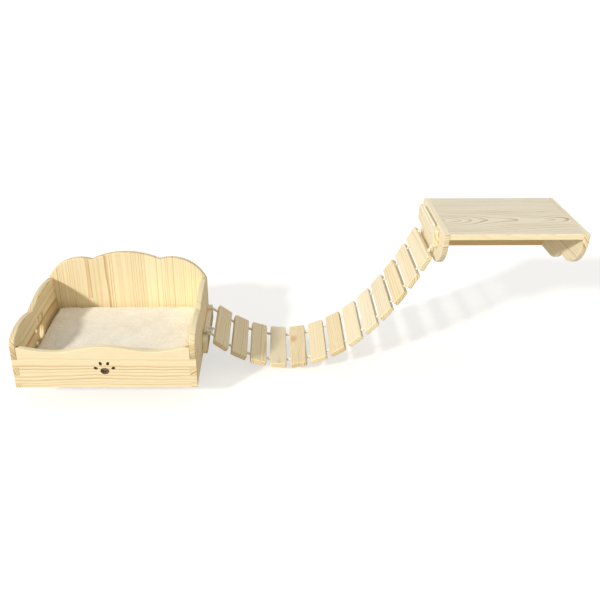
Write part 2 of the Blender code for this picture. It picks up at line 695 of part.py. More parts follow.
def slat_template(name, screws):
    """A slat lying flat: its width along X, its length along Y, with two rope holes along X."""
    half_x = SLAT_WIDTH / 2 - SLAT_CORNER_RADIUS
    half_y = SLAT_LENGTH / 2 - SLAT_CORNER_RADIUS
    radius, count = SLAT_CORNER_RADIUS, SLAT_CORNER_POINTS
    outline = []
    for quarter, (x, y) in enumerate(((1, 1), (-1, 1), (-1, -1), (1, -1))):
        centre = (x * half_x, y * half_y)
        start = quarter * math.pi / 2
        outline += circle_points(centre, radius, count, start, math.pi / 2, closed=False)
    bm = bmesh.new()
    prism(bm, outline, -SLAT_THICKNESS / 2, SLAT_THICKNESS / 2)
    rims = [edge for edge in bm.edges if abs(edge.verts[0].co.z - edge.verts[1].co.z) < CLEARANCE]
    bmesh.ops.bevel(
        bm, geom=rims, offset=SLAT_EDGE_RADIUS, segments=2, profile=0.5, affect="EDGES", material=-1
    )
    slat = add_object(name, mesh_of(bm, name), "pine")
    for index, y in enumerate((-1, 1)):
        bm = bmesh.new()
        centre = (0.0, y * (SLAT_LENGTH / 2 - ROPE_INSET), 0.0)
        frame = Matrix.Translation(centre) @ Matrix.Rotation(math.pi / 2, 4, "Y")
        rod(bm, ROPE_HOLE_RADIUS, -SLAT_WIDTH, SLAT_WIDTH, frame)
        cut(slat, cutter(f"{name}_rope_hole_{index}", bm))
    for index, y in enumerate(screws):
        head = (0.0, y, -SLAT_THICKNESS / 2 - CLEARANCE - PANEL)
        cut_screw_hole(slat, f"{name}_screw_hole_{index}", head, (0, 0, 1), ANCHOR_SCREW_LENGTH)
    return baked_mesh(slat, name)


def anchor_screw_offsets():
    return (SLAT_LENGTH / 2 - ANCHOR_SCREW_INSET, ANCHOR_SCREW_INSET - SLAT_LENGTH / 2)


def make_bridge(bed_side, shelf_side, screw):
    mesh = slat_template("bridge_slat", ())
    for index, (x, z, slope) in enumerate(slat_places()):
        frame = Matrix.Translation((x, SLAT_Y, z)) @ Matrix.Rotation(-slope, 4, "Y")
        add_object(f"bridge_slat_{index + 1:02d}", mesh, None, frame)
    anchor = slat_template("bridge_anchor", anchor_screw_offsets())
    fixings = (
        ("bed", BED_ANCHOR_X, BED_ANCHOR_Z, 1, bed_side),
        ("shelf", SHELF_ANCHOR_X, SHELF_ANCHOR_Z, -1, shelf_side),
    )
    for side, x, z, facing, panel in fixings:
        frame = Matrix.Translation((x, SLAT_Y, z)) @ Matrix.Rotation(facing * math.pi / 2, 4, "Y")
        add_object(f"bridge_anchor_{side}", anchor, None, frame)
        inner_face = x - facing * (SLAT_THICKNESS / 2 + CLEARANCE + PANEL)
        for index, offset in enumerate(anchor_screw_offsets()):
            head = (inner_face, SLAT_Y + offset, z)
            direction = (facing, 0, 0)
            cut_screw_hole(panel, f"{side}_panel_hole_{index}", head, direction, ANCHOR_SCREW_LENGTH)
            add_object(f"bridge_anchor_{side}_screw_{index + 1}", screw, None, screw_frame(head, direction))


def rope_run(y):
    """One run of the rope through every slat, from the bed's side to the shelf's."""
    points = []
    reach = SLAT_WIDTH / 2 + ROPE_PROUD
    for x, z, slope in slat_places():
        along = Vector((math.cos(slope), 0.0, math.sin(slope)))
        middle = Vector((x, y, z))
        points += [middle - along * reach, middle + along * reach]
    return points


def arc_points(centre, first, last, steps):
    """Points from first to last on a circle about centre, leaving out first."""
    begin, finish = Vector(first) - Vector(centre), Vector(last) - Vector(centre)
    axis = begin.cross(finish).normalized()
    angle = begin.angle(finish)
    turns = [Matrix.Rotation(angle * step / steps, 3, axis) for step in range(1, steps + 1)]
    return [Vector(centre) + turn @ begin for turn in turns]


def wrap_points(x, rows, rim_z, up):
    """Rope out of one hole of an anchor, along its edge and into the other; up is 1 above, -1 below."""
    first, last = rows
    toward = 1 if last > first else -1
    radius = ROPE_WRAP_RADIUS
    lead, follow = first + toward * radius, last - toward * radius
    level = rim_z + up * radius
    points = [Vector((x, first, rim_z))]
    points += arc_points((x, lead, rim_z), (x, first, rim_z), (x, lead, level), ROPE_BEND_STEPS)
    points.append(Vector((x, follow, level)))
    return points + arc_points((x, follow, rim_z), (x, follow, level), (x, last, rim_z), ROPE_BEND_STEPS)


def over_points(y):
    """Rope from the first slat up and over into the top of the bed anchor's hole."""
    x, z, slope = slat_places()[0]
    down = -slope
    rise_z = BED_BOTTOM + BED_ANCHOR_TOP + ROPE_RISE
    normal = Vector((math.sin(down), 0.0, math.cos(down)))
    radius = Vector((x - BED_ANCHOR_X, 0.0, z - rise_z)).dot(normal) / (1 + math.sin(down))
    centre = Vector((BED_ANCHOR_X + radius, y, rise_z))
    return arc_points(centre, centre + normal * radius, centre - Vector((radius, 0, 0)), ROPE_OVER_STEPS)


def knot_side_end(y):
    """Where the front run's end passes under the knot: the first place on its line that is low enough."""
    place, length = hanging_line()
    level = BED_BOTTOM + BED_ANCHOR_TOP
    steps = 200
    for step in range(steps):
        x, z, slope = place(length * step / steps)
        if z + ROPE_RADIUS * math.cos(slope) < level:
            break
    return Vector((x, y, z))


def rope_route():
    """The whole rope, from the knot out along the front run, round the shelf anchor and back."""
    front, rear = ROPE_ROWS
    anchor_top = SHELF_ANCHOR_Z + SLAT_WIDTH / 2
    under_shelf_anchor = SHELF_ANCHOR_Z - SLAT_WIDTH / 2 - ROPE_PROUD
    points = [knot_side_end(front)] + rope_run(front)
    points.append(Vector((SHELF_ANCHOR_X, front, under_shelf_anchor)))
    points += wrap_points(SHELF_ANCHOR_X, (front, rear), anchor_top, 1)
    points.append(Vector((SHELF_ANCHOR_X, rear, under_shelf_anchor)))
    points += list(reversed(rope_run(rear)))
    points += over_points(rear)
    points += wrap_points(BED_ANCHOR_X, (rear, front), BED_ANCHOR_Z - SLAT_WIDTH / 2, -1)
    points.append(Vector((BED_ANCHOR_X, front, BED_BOTTOM + BED_ANCHOR_TOP - ROPE_PROUD)))
    return points


def knot_route():
    """An overhand knot: a three-lobed strand that is open at one lobe, where its ends run on as tails."""
    reach = (1 + KNOT_LOBE) * KNOT_SCALE + ROPE_RADIUS
    centre = Vector((
        BED_HALF + 2 * CLEARANCE + reach,
        ROPE_ROWS[0],
        BED_BOTTOM + BED_ANCHOR_TOP + CLEARANCE + KNOT_HEIGHT + ROPE_RADIUS,
    ))
    turn = Matrix.Rotation(KNOT_TURN, 3, "Z")
    points = []
    for step in range(KNOT_STEPS + 1):
        angle = math.pi + KNOT_OPENING + (2 * math.pi - 2 * KNOT_OPENING) * step / KNOT_STEPS
        across = math.sin(angle) + KNOT_LOBE * math.sin(2 * angle)
        along = math.cos(angle) - KNOT_LOBE * math.cos(2 * angle)
        rise = -KNOT_HEIGHT * math.sin(3 * angle)
        points.append(Vector((across * KNOT_SCALE, along * KNOT_SCALE, rise)))
    tails = []
    for end, before in ((0, 1), (-1, -2)):
        heading = points[end] - points[before]
        heading.z = 0.0
        tails.append(points[end] + heading.normalized() * KNOT_TAIL)
    points = [tails[0], *points, tails[1]]
    return [centre + turn @ point for point in points]


def least_gap(route, radius):
    """The least gap of a strand to itself, measured between points more than two diameters apart along it."""
    along = [0.0]
    for first, second in zip(route, route[1:]):
        along.append(along[-1] + (second - first).length)
    gaps = [
        (route[i] - route[j]).length - 2 * radius
        for i in range(len(route))
        for j in range(i)
        if along[i] - along[j] > 4 * radius
    ]
    return min(gaps)


def tube(name, route):
    curve = bpy.data.curves.new(name, "CURVE")
    curve.dimensions = "3D"
    curve.bevel_depth = ROPE_RADIUS
    curve.bevel_resolution = 2
    curve.use_fill_caps = True
    spline = curve.splines.new("POLY")
    spline.points.add(len(route) - 1)
    for point, place in zip(spline.points, route):
        point.co = (*place, 1.0)
    return add_object(name, curve, "cotton_rope")


def main():
    clear_scene()
    groove = make_floor()
    make_back_panel(groove)
    make_front_panel(groove)
    left = make_side_panel("bed_left_panel", -BED_HALF, groove)
    cut_side_paw(left, -BED_HALF)
    right = make_side_panel("bed_right_panel", BED_HALF - PANEL, groove)
    make_mat()
    left_bracket = make_shelf()
    plate = hanger_mesh()
    short_screw = screw_mesh("hanger_screw", HANGER_SCREW_LENGTH)
    long_screw = screw_mesh("anchor_screw", ANCHOR_SCREW_LENGTH)
    make_hangers("bed", (-BED_HANGER_X, BED_HANGER_X), 0.0, plate, short_screw)
    shelf_places = (SHELF_MIDDLE - SHELF_HANGER_X, SHELF_MIDDLE + SHELF_HANGER_X)
    make_hangers("shelf", shelf_places, SHELF_HANGER_Z, plate, short_screw)
    make_bridge(right, left_bracket, long_screw)
    tube("bridge_rope", rope_route())
    knot = knot_route()
    tube("rope_knot", knot)
    print(f"The knot's strand keeps {least_gap(knot, ROPE_RADIUS) * 1000:.2f} mm to itself")


main()
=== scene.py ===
# %% [markdown]
# # A wall set for cats
# Three pieces of pine hang side by side on a wall: an open bed box with a plush mat, a bridge of slats on a
# rope, and a shelf on two scalloped brackets. Their boards are already modelled at real size, as plain
# solids. This lesson gives them what the eye looks for: softened edges, grain that runs the right way on
# each board, a plump mat with a pile, and a rope with three strands. Every piece stays where its solid is,
# in metres.

import json
import math
import random

import bmesh
import bpy
from mathutils import Matrix, Vector, geometry, noise


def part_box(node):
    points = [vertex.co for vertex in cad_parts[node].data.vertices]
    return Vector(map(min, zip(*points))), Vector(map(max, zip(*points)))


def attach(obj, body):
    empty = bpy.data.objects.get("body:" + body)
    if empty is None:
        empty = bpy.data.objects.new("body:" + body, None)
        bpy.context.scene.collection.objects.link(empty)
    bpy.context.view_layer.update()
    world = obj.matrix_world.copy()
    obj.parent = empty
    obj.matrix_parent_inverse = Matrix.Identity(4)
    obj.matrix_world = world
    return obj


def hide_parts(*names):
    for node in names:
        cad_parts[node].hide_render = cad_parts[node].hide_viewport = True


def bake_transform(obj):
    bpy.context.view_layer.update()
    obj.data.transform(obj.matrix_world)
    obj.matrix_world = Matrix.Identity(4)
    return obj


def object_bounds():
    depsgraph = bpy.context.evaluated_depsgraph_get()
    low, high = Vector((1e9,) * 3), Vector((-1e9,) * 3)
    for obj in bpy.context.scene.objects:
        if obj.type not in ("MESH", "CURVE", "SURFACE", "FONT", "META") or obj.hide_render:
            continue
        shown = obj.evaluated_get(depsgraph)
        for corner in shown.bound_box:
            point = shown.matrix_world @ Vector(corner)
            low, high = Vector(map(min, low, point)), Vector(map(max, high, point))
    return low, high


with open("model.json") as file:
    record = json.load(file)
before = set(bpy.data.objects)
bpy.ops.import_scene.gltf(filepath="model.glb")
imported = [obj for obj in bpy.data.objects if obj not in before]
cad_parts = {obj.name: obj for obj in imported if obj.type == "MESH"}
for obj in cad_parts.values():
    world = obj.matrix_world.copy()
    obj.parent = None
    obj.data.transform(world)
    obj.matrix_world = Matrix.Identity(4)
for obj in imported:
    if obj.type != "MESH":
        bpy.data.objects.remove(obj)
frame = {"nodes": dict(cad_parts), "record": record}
solid_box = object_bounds()
MM = 0.001
X, Y, Z = (Vector(axis) for axis in ((1, 0, 0), (0, 1, 0), (0, 0, 1)))

# %% [markdown]
# ## Small helpers
# Colours are picked as sRGB hex values, as on a paint card, and shaders want linear light, so one function
# turns them. Node trees get long quickly, so one function adds a node, sets it up and links it in a single
# call. Its inputs come in the node's own order: Map Range takes a value, the two ends of the range it comes
# from and the two ends of the range it goes to. Others put new objects in the scene, or take the mesh that
# an object has once its modifiers have run.


# %% Colours, nodes and objects
def linear(code):
    """An sRGB hex colour as linear red, green, blue and alpha."""
    shares = [int(code[start : start + 2], 16) / 255 for start in (0, 2, 4)]
    return [s / 12.92 if s <= 0.04045 else ((s + 0.055) / 1.055) ** 2.4 for s in shares] + [1.0]


def feed(tree, node, inputs):
    """Fills a node's inputs, given in order or by name, with values or with other nodes' outputs."""
    for socket, value in inputs.items() if isinstance(inputs, dict) else enumerate(inputs):
        if isinstance(value, bpy.types.NodeSocket):
            tree.links.new(value, node.inputs[socket])
        else:
            node.inputs[socket].default_value = value


def add(tree, kind, inputs=(), operation=None, stops=(), **settings):
    """Adds a shader node and gives its outputs. Stops are the places and colours of a colour ramp."""
    node = tree.nodes.new("ShaderNode" + kind)
    if operation:
        node.operation = operation
    for setting, value in settings.items():
        setattr(node, setting, value)
    feed(tree, node, inputs)
    for index, (position, colour) in enumerate(stops):
        ramp = node.color_ramp.elements
        stop = ramp[index] if index < 2 else ramp.new(position)
        stop.position = position
        stop.color = colour
    return node.outputs


def new_material(name, roughness):
    """A material with its node tree and its shader."""
    material = bpy.data.materials.new(name)
    material.use_nodes = True
    shader = material.node_tree.nodes["Principled BSDF"]
    shader.inputs["Roughness"].default_value = roughness
    return material, material.node_tree, shader


def mesh_of(name, bm):
    """Turns a bmesh into a mesh."""
    mesh = bpy.data.meshes.new(name)
    bm.to_mesh(mesh)
    bm.free()
    return mesh


def in_scene(name, data):
    """Makes an object of a mesh, curve, lamp or camera, and puts it in the scene."""
    obj = bpy.data.objects.new(name, data)
    bpy.context.scene.collection.objects.link(obj)
    return obj


def finished_mesh(obj):
    """The mesh that an object has once its modifiers have run, or that a curve draws."""
    graph = bpy.context.evaluated_depsgraph_get()
    return bpy.data.meshes.new_from_object(obj.evaluated_get(graph))


print("cream", [round(value, 3) for value in linear("F6E6C4")])

# %% [markdown]
# ## Camera
# The set was photographed from in front and above, a little to the left of its middle, with a normal lens
# from about two metres. The camera's turn is written as three angles, because each one answers a question of
# its own: how far down it looks, how far to the side, and how level it is held.

# %% Camera
CAMERA_PLACE = Vector((0.4183, -1.935, 0.8983))
LOOK_DOWN = 0.473  # radians
LOOK_LEFT = -0.006
CAMERA_ROLL = -0.001
FOCAL_PIXELS = 743.3  # focal length on a picture 600 pixels wide
PICTURE_WIDTH = 600
LENS_CENTRE = (279.1, 311.3)  # where the lens points, in pixels: the picture is cropped a little off centre


def make_camera():
    data = bpy.data.cameras.new("camera")
    data.sensor_width = 36.0
    data.lens = FOCAL_PIXELS * data.sensor_width / PICTURE_WIDTH
    data.shift_x = 0.5 - LENS_CENTRE[0] / PICTURE_WIDTH
    data.shift_y = LENS_CENTRE[1] / PICTURE_WIDTH - 0.5
    flat = math.cos(LOOK_DOWN)
    ahead = Vector((-math.sin(LOOK_LEFT) * flat, math.cos(LOOK_LEFT) * flat, -math.sin(LOOK_DOWN)))
    level = Vector((math.cos(LOOK_LEFT), math.sin(LOOK_LEFT), 0.0))
    upright = level.cross(ahead)
    right = level * math.cos(CAMERA_ROLL) + upright * math.sin(CAMERA_ROLL)
    up = upright * math.cos(CAMERA_ROLL) - level * math.sin(CAMERA_ROLL)
    camera = in_scene("camera", data)
    camera.matrix_world = Matrix.Translation(CAMERA_PLACE) @ Matrix((right, up, -ahead)).transposed().to_4x4()
    bpy.context.scene.camera = camera
    return camera


print(f"lens {make_camera().data.lens:.1f} mm")

# %% [markdown]
# ## Floor and light
# A pale floor lies just under the lowest slat. One sun lamp shines from the front left, so the fronts of the
# boards are brighter than their tops, and the sky fills the shadows. The camera sees the floor and the sky
# as white, and both lights stay at a level where colours look as written.

# %% Floor and light
FLOOR_DROP = 20 * MM
FLOOR_SIZE = 30.0
LAMP_HEADING = Vector((0.58, 0.66, -0.47)).normalized()  # the way its light travels
LAMP_STRENGTH = 2.42
LAMP_SPREAD = math.radians(5)  # how wide the lamp looks from the set, which softens its shadows
SKY_STRENGTH = 0.49
FLOOR_GLOW = 0.58


def make_floor():
    bm = bmesh.new()
    bmesh.ops.create_grid(bm, x_segments=1, y_segments=1, size=FLOOR_SIZE / 2)
    bmesh.ops.translate(bm, verts=bm.verts, vec=(0, 0, solid_box[0].z - FLOOR_DROP))
    floor = in_scene("studio_floor", mesh_of("studio_floor", bm))
    material, tree, shader = new_material("pale_floor", 0.9)
    seen = add(tree, "LightPath")["Is Camera Ray"]
    glow = add(tree, "Math", [seen, FLOOR_GLOW], "MULTIPLY")[0]
    grey, white = linear("CDCDCB"), linear("FFFFFF")
    feed(tree, shader, {"Base Color": grey, "Emission Color": white, "Emission Strength": glow})
    floor.data.materials.append(material)


def make_sky():
    world = bpy.data.worlds.new("studio")
    bpy.context.scene.world = world
    world.use_nodes = True
    tree = world.node_tree
    tree.nodes.clear()
    path = add(tree, "LightPath")
    seen = path["Is Camera Ray"]
    for ray in ("Is Glossy Ray", "Is Transmission Ray"):
        seen = add(tree, "Math", [seen, path[ray]], "MAXIMUM")[0]
    fill = add(tree, "Background", {"Color": linear("FFFBF3"), "Strength": SKY_STRENGTH})[0]
    white = add(tree, "Background", {"Color": linear("FFFFFF"), "Strength": 1.0})[0]
    add(tree, "OutputWorld", {"Surface": add(tree, "MixShader", [seen, fill, white])[0]})


def make_lamp():
    data = bpy.data.lights.new("key_lamp", "SUN")
    data.energy = LAMP_STRENGTH
    data.angle = LAMP_SPREAD
    data.color = linear("FFFAF0")[:3]
    in_scene("key_lamp", data).matrix_world = LAMP_HEADING.to_track_quat("-Z", "Y").to_matrix().to_4x4()


make_floor()
make_sky()
make_lamp()
bpy.context.scene.view_settings.view_transform = "Standard"
print(f"lamp {math.degrees(math.asin(-LAMP_HEADING.z)):.0f} degrees up")

# %% [markdown]
# ## Wood
# A board is a slice of a log, and every figure on it comes from that: straight stripes where the rings are
# cut steeply, pointed arches where they are cut flat, and arcs on the end grain. So the pattern here is a
# log, not a picture of grain. Each material has its own log, with the way its fibres run and a point on its
# pith, and its rings cut the board wherever the board happens to lie. The colours come first.

# %% Kinds of wood
# Radiata pine: fast grown, with rings 4 to 9 mm apart, pale early wood and a thin honey-coloured late wood.
# Planed and sanded to 180 grit under a matt clear coat, which leaves a soft sheen and hardly any pores.
PINE = {"early": "FCEDC6", "late": "D3A768", "end": "F7E5B9", "knot": "E3B988", "roughness": 0.52}
# The core of the log, next to the pith, is browner. The rail under the shelf is cut from it.
HEARTWOOD = {"early": "EBCB92", "late": "BE8C50", "end": "D9B071", "knot": "A0643C", "roughness": 0.52}
# The same pine from near the bark: sapwood, which is paler and greyer. Some boards have a share of it.
SAPWOOD = {"early": "F6EEDA", "late": "B9A47E", "end": "F7E7C4", "knot": "D09A62", "roughness": 0.48}
# Beech: even and pinkish, with short dark flecks. Turned smooth for dowels.
BEECH = {"early": "E6C9A0", "late": "D6B284", "end": "CFA97C", "knot": "A0643C", "roughness": 0.6}


def colour_of(kind, part, pale):
    """A colour of one kind of wood, with a share of sapwood in it."""
    return [own + (sap - own) * pale for own, sap in zip(linear(kind[part]), linear(SAPWOOD[part]))]


print("wood kinds: pine, heartwood, sapwood, beech")

# %% [markdown]
# Wide boards are glued up from strips, and each strip comes from another log, so a random shift for each
# strip and block gives its figure and its tone. A knot is the foot of a branch: a darker oval that the rings
# of the log bend round.

# %% Strips and knots
STRIP_SHIFT = 0.23  # metres between the logs of two strips, at most
GLUE_LINE = 0.5 * MM
KNOT_STRETCH = 0.5  # a knot is an oval, so its reach along the grain is counted shorter by this share


def strip_of(tree, place, grain, across, width, block):
    """A random colour for the strip and block that a point lies in, and how near it is to a glue line."""
    side = add(tree, "VectorMath", [place, across / width], "DOT_PRODUCT")["Value"]
    strip = add(tree, "Math", [side], "FLOOR")[0]
    stagger = add(tree, "TexWhiteNoise", {"W": strip}, noise_dimensions="1D")["Value"]
    length = add(tree, "VectorMath", [place, grain / block], "DOT_PRODUCT")["Value"]
    along = add(tree, "Math", [length, stagger], "ADD")[0]
    piece = add(tree, "Math", [along], "FLOOR")[0]
    cell = add(tree, "CombineXYZ", [strip, piece])[0]
    chance = add(tree, "TexWhiteNoise", {"Vector": cell}, noise_dimensions="3D")["Color"]
    inside = add(tree, "Math", [side], "FRACT")[0]
    edge = add(tree, "MapRange", [inside, 0, GLUE_LINE / width])[0]
    return chance, edge


def knot_of(tree, place, grain, middle, axis, radius):
    """A knot's dark core, and the halo where the rings bend round it."""
    away = add(tree, "VectorMath", [place, middle], "SUBTRACT")[0]
    depth = add(tree, "VectorMath", [away, axis], "DOT_PRODUCT")["Value"]
    sunk = add(tree, "VectorMath", {0: axis, "Scale": depth}, "SCALE")[0]
    face = add(tree, "VectorMath", [away, sunk], "SUBTRACT")[0]
    ahead = add(tree, "VectorMath", [face, grain], "DOT_PRODUCT")["Value"]
    squeeze = add(tree, "Math", [ahead, -KNOT_STRETCH], "MULTIPLY")[0]
    pulled = add(tree, "VectorMath", {0: grain, "Scale": squeeze}, "SCALE")[0]
    oval = add(tree, "VectorMath", [face, pulled], "ADD")[0]
    distance = add(tree, "VectorMath", [oval], "LENGTH")["Value"]
    core = [distance, radius, 0.2 * radius, 0, 0.9]
    halo = [distance, 3.2 * radius, 0.5 * radius]
    return [add(tree, "MapRange", zone, interpolation_type="SMOOTHSTEP")[0] for zone in (core, halo)]


print(f"strips shifted by up to {STRIP_SHIFT * 1000:.0f} mm")

# %% [markdown]
# The rings of a real log are no bull's-eye. They wander, they are wide in good years and narrow in bad ones,
# and each has its own strength, which fades in and out along the log. Within a ring the early wood is pale,
# and the late wood darkens slowly and ends in a sharp line.

# %% Rings
RING = 7 * MM
WAVE = (1.7, 9 * MM)  # how often a ring sways along the log, for each metre, and how far it sways
WANDER = 11  # how often it sways round the log, for each metre
GOOD_YEARS = (38.0, 2.4)  # how often the width of the rings changes, for each metre, and by how many rings
KNOT_PUSH = 2.2  # rings that a knot pushes aside
LATE_WOOD = ((0.0, 0), (1.0, 0), (0.50, 0.05), (0.78, 0.45), (0.93, 1))  # how dark each part of a ring is
BOLDNESS = (0.30, 1.25)  # how strongly the faintest and the boldest ring show
FADING = (34, 34, 1.1)  # how often a ring fades, for each metre across and along the log
FADED = 0.35  # how much of a ring is left where it fades
PLAIN_STRENGTH = 0.22  # how much of the rings shows in the plain middle of a log


def log_of(tree, place, grain, pith, wave):
    """The log's own frame, where its fibres run along Z and its pith is at X = Y = 0, true and bent."""
    turn = grain.rotation_difference(Z)
    settings = {"Vector": place, "Location": -(turn @ pith), "Rotation": turn.to_euler()}
    log = add(tree, "Mapping", settings)[0]
    slow = add(tree, "VectorMath", [log, (WANDER, WANDER, wave[0])], "MULTIPLY")[0]
    wander = add(tree, "TexNoise", {"Vector": slow, "Scale": 1.0, "Detail": 2.0})["Color"]
    bent = add(tree, "VectorMath", [wander, (wave[1], wave[1], 0), log], "MULTIPLY_ADD")[0]
    return log, bent


def rings_of(tree, log, bent, rings, figure, plain, halo):
    """Where the late wood of the rings is, and how strongly it shows."""
    flat = add(tree, "VectorMath", [bent, (1, 1, 0)], "MULTIPLY")[0]
    radius = add(tree, "VectorMath", [flat], "LENGTH")["Value"]
    span = add(tree, "Math", [radius, GOOD_YEARS[0]], "MULTIPLY")[0]
    weather = add(tree, "TexNoise", {"W": span, "Scale": 1.0, "Detail": 1.0}, noise_dimensions="1D")["Fac"]
    years = add(tree, "Math", [radius, 1 / rings], "MULTIPLY")[0]
    years = add(tree, "Math", [weather, GOOD_YEARS[1], years], "MULTIPLY_ADD")[0]
    if halo is not None:
        years = add(tree, "Math", [halo, KNOT_PUSH, years], "MULTIPLY_ADD")[0]
    season = add(tree, "Math", [years], "FRACT")[0]
    stops = [(position, (dark,) * 3 + (1,)) for position, dark in LATE_WOOD]
    late = add(tree, "ValToRGB", {"Fac": season}, stops=stops)[0]

    # Some rings are bold lines and others barely show, and they fade in and out along the log.
    ring = add(tree, "Math", [years], "FLOOR")[0]
    bold = add(tree, "TexWhiteNoise", {"W": ring}, noise_dimensions="1D")["Value"]
    bold = add(tree, "MapRange", [bold, 0, 1, *BOLDNESS])[0]
    broad = add(tree, "VectorMath", [log, FADING], "MULTIPLY")[0]
    broad = add(tree, "TexNoise", {"Vector": broad, "Scale": 1.0, "Detail": 2.0})["Fac"]
    strength = add(tree, "MapRange", [broad, 0.35, 0.65, FADED * figure, figure])[0]
    strength = add(tree, "Math", [strength, bold], "MULTIPLY")[0]
    if plain:
        fade = [radius, plain - 8 * MM, plain + 3 * MM, PLAIN_STRENGTH]
        fade = add(tree, "MapRange", fade, interpolation_type="SMOOTHSTEP")[0]
        strength = add(tree, "Math", [strength, fade], "MULTIPLY")[0]
    return late, strength


print(f"rings {RING * 1000:.0f} mm apart, unless a board says otherwise")

# %% [markdown]
# The wood itself puts these together. Fine fibres run along every board. End grain drinks the coat, so its
# rings stand out more and its ground is darker. Where a board asks for it, the faces that look up are painted
# greyer, as painted reflection of the sky on the coat at a low angle. The gloss varies with the fibres, and
# the late wood stands a little proud, because it is harder to sand.

# %% Wood
STRIP_TONES = (0.88, 1.03)  # how dark and how light a strip may be
GLUE_TONE = 0.82
FIBRES = (950, 950, 17)  # for each metre: the streaks are about 1 mm wide and 60 mm long
FIBRE_TONES = (0.93, 1.04)
END_SOAK = 2.0  # how much clearer the rings are on end grain, as a share of their strength
EDGE_FIGURE = 0.3  # how clear the rings are on the edges of a board with painted sky reflection on its top, against its top
GLOSS_SPREAD = 0.08
FIBRE_HEIGHT = 0.6  # against the late wood


def wood(
    name, kind, grain, pith, rings=RING, tone=1.0, strips=None, knot=None,
    figure=1.0, wave=WAVE, plain=0.0, pale=0.0, painted_sky_sheen=0.0,
):
    """Wood from a log that runs along grain, with its pith through a point given in the set's own frame.
    Figure is how clear its rings are, and inside the radius plain they hardly show. Pale is the share of
    sapwood in its colours. The last argument is that share on faces that look up: painted sky reflection,
    which greys the tops the way a low sheen on the coat would."""
    material, tree, shader = new_material(name, kind["roughness"])
    source = add(tree, "TexCoord")
    place = shifted = source["Object"]
    shade = tone
    if strips:
        chance, edge = strip_of(tree, place, grain, *strips)
        shifted = add(tree, "VectorMath", [chance, (STRIP_SHIFT,) * 3, place], "MULTIPLY_ADD")[0]
        shade = add(tree, "MapRange", [chance, 0, 1, *(tone * share for share in STRIP_TONES)])[0]
        line = add(tree, "MapRange", [edge, 0, 1, GLUE_TONE])[0]
        shade = add(tree, "Math", [shade, line], "MULTIPLY")[0]
    log, bent = log_of(tree, shifted, grain, pith, wave)
    core, halo = knot_of(tree, place, grain, *knot) if knot else (None, None)
    late, strength = rings_of(tree, log, bent, rings, figure, plain, halo)
    # Painted reflection: faces that look up are painted greyer below, in place of the sky's sheen on the coat,
    # and the rings on the other faces are drawn fainter.
    if painted_sky_sheen:
        upward = add(tree, "SeparateXYZ", [source["Normal"]])[2]
        upward = add(tree, "MapRange", [upward, 0.4, 0.9])[0]
        clear = add(tree, "MapRange", [upward, 0, 1, EDGE_FIGURE])[0]
        strength = add(tree, "Math", [strength, clear], "MULTIPLY")[0]
    late = add(tree, "Math", [late, strength], "MULTIPLY", use_clamp=True)[0]

    # The tone of the fibres, and the end grain.
    thin = add(tree, "VectorMath", [bent, FIBRES], "MULTIPLY")[0]
    fibre = add(tree, "TexNoise", {"Vector": thin, "Scale": 1.0, "Detail": 3.0})["Fac"]
    grey = add(tree, "MapRange", [fibre, 0.3, 0.7, *FIBRE_TONES])[0]
    shade = add(tree, "Math", [grey, shade], "MULTIPLY")[0]
    end = add(tree, "VectorMath", [source["Normal"], grain], "DOT_PRODUCT")["Value"]
    end = add(tree, "Math", [end], "ABSOLUTE")[0]
    end = add(tree, "MapRange", [end, 0.70, 0.95, 0, END_SOAK])[0]

    # The colours, mixed from the ground up.
    early, dense, end_ground = (colour_of(kind, part, pale) for part in ("early", "late", "end"))
    # Painted reflection: on faces that look up, the early and late colours are mixed towards sapwood grey.
    if painted_sky_sheen:
        painted_sheen_early, painted_sheen_dense = (colour_of(kind, part, painted_sky_sheen) for part in ("early", "late"))
        early = add(tree, "Mix", {0: upward, 6: early, 7: painted_sheen_early}, data_type="RGBA")[2]
        dense = add(tree, "Mix", {0: upward, 6: dense, 7: painted_sheen_dense}, data_type="RGBA")[2]
    soaked = add(tree, "Math", [end, late, late], "MULTIPLY_ADD", use_clamp=True)[0]
    ground = add(tree, "Mix", {0: end, 6: early, 7: end_ground}, data_type="RGBA")[2]
    colour = add(tree, "Mix", {0: soaked, 6: ground, 7: dense}, data_type="RGBA")[2]
    if knot:
        colour = add(tree, "Mix", {0: core, 6: colour, 7: linear(kind["knot"])}, data_type="RGBA")[2]
    colour = add(tree, "VectorMath", {0: colour, "Scale": shade}, "SCALE")[0]
    shiny, dull = kind["roughness"] - GLOSS_SPREAD, kind["roughness"] + GLOSS_SPREAD
    gloss = add(tree, "MapRange", [fibre, 0, 1, shiny, dull])[0]
    height = add(tree, "Math", [fibre, FIBRE_HEIGHT, late], "MULTIPLY_ADD")[0]
    bump = add(tree, "Bump", {"Height": height, "Strength": 0.25, "Distance": 0.15 * MM})[0]
    feed(tree, shader, {"Base Color": colour, "Roughness": gloss, "Normal": bump})
    return material


print(f"end grain shows its rings {1 + END_SOAK:.0f} times as clearly")

# %% [markdown]
# ## Softened boards
# The solids have knife edges, which no sanded board has. A bevel rounds them. The solids arrive as loose
# triangles, so a copy is merged and its flat faces are joined first, or the bevel would round every
# triangle. Only free edges are rounded. Where boards meet in the corner joints, sanding leaves them flush
# and crisp.

# %% Softened boards
JOINT_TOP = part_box("bed_front_panel")[0].z + 80 * MM  # the lower end of the corner joint's top row
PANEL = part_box("shelf_board")[1].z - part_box("shelf_board")[0].z
BED_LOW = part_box("bed_back_panel")[0].z
BED_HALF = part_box("bed_back_panel")[1].x
BED_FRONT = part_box("bed_front_panel")[0].y
EDGE_ROUND = 2.4 * MM
PAW_ROUND = 0.8 * MM  # the cut paws are only broken with sandpaper
SHARP = math.radians(38)
HOLE_MARGIN = 4 * MM
ROUNDED = {"affect": "EDGES", "profile": 0.5, "material": -1, "clamp_overlap": False}
hardware = [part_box(node) for node in frame["nodes"] if "screw" in node or "dowel" in node or "hanger" in node]


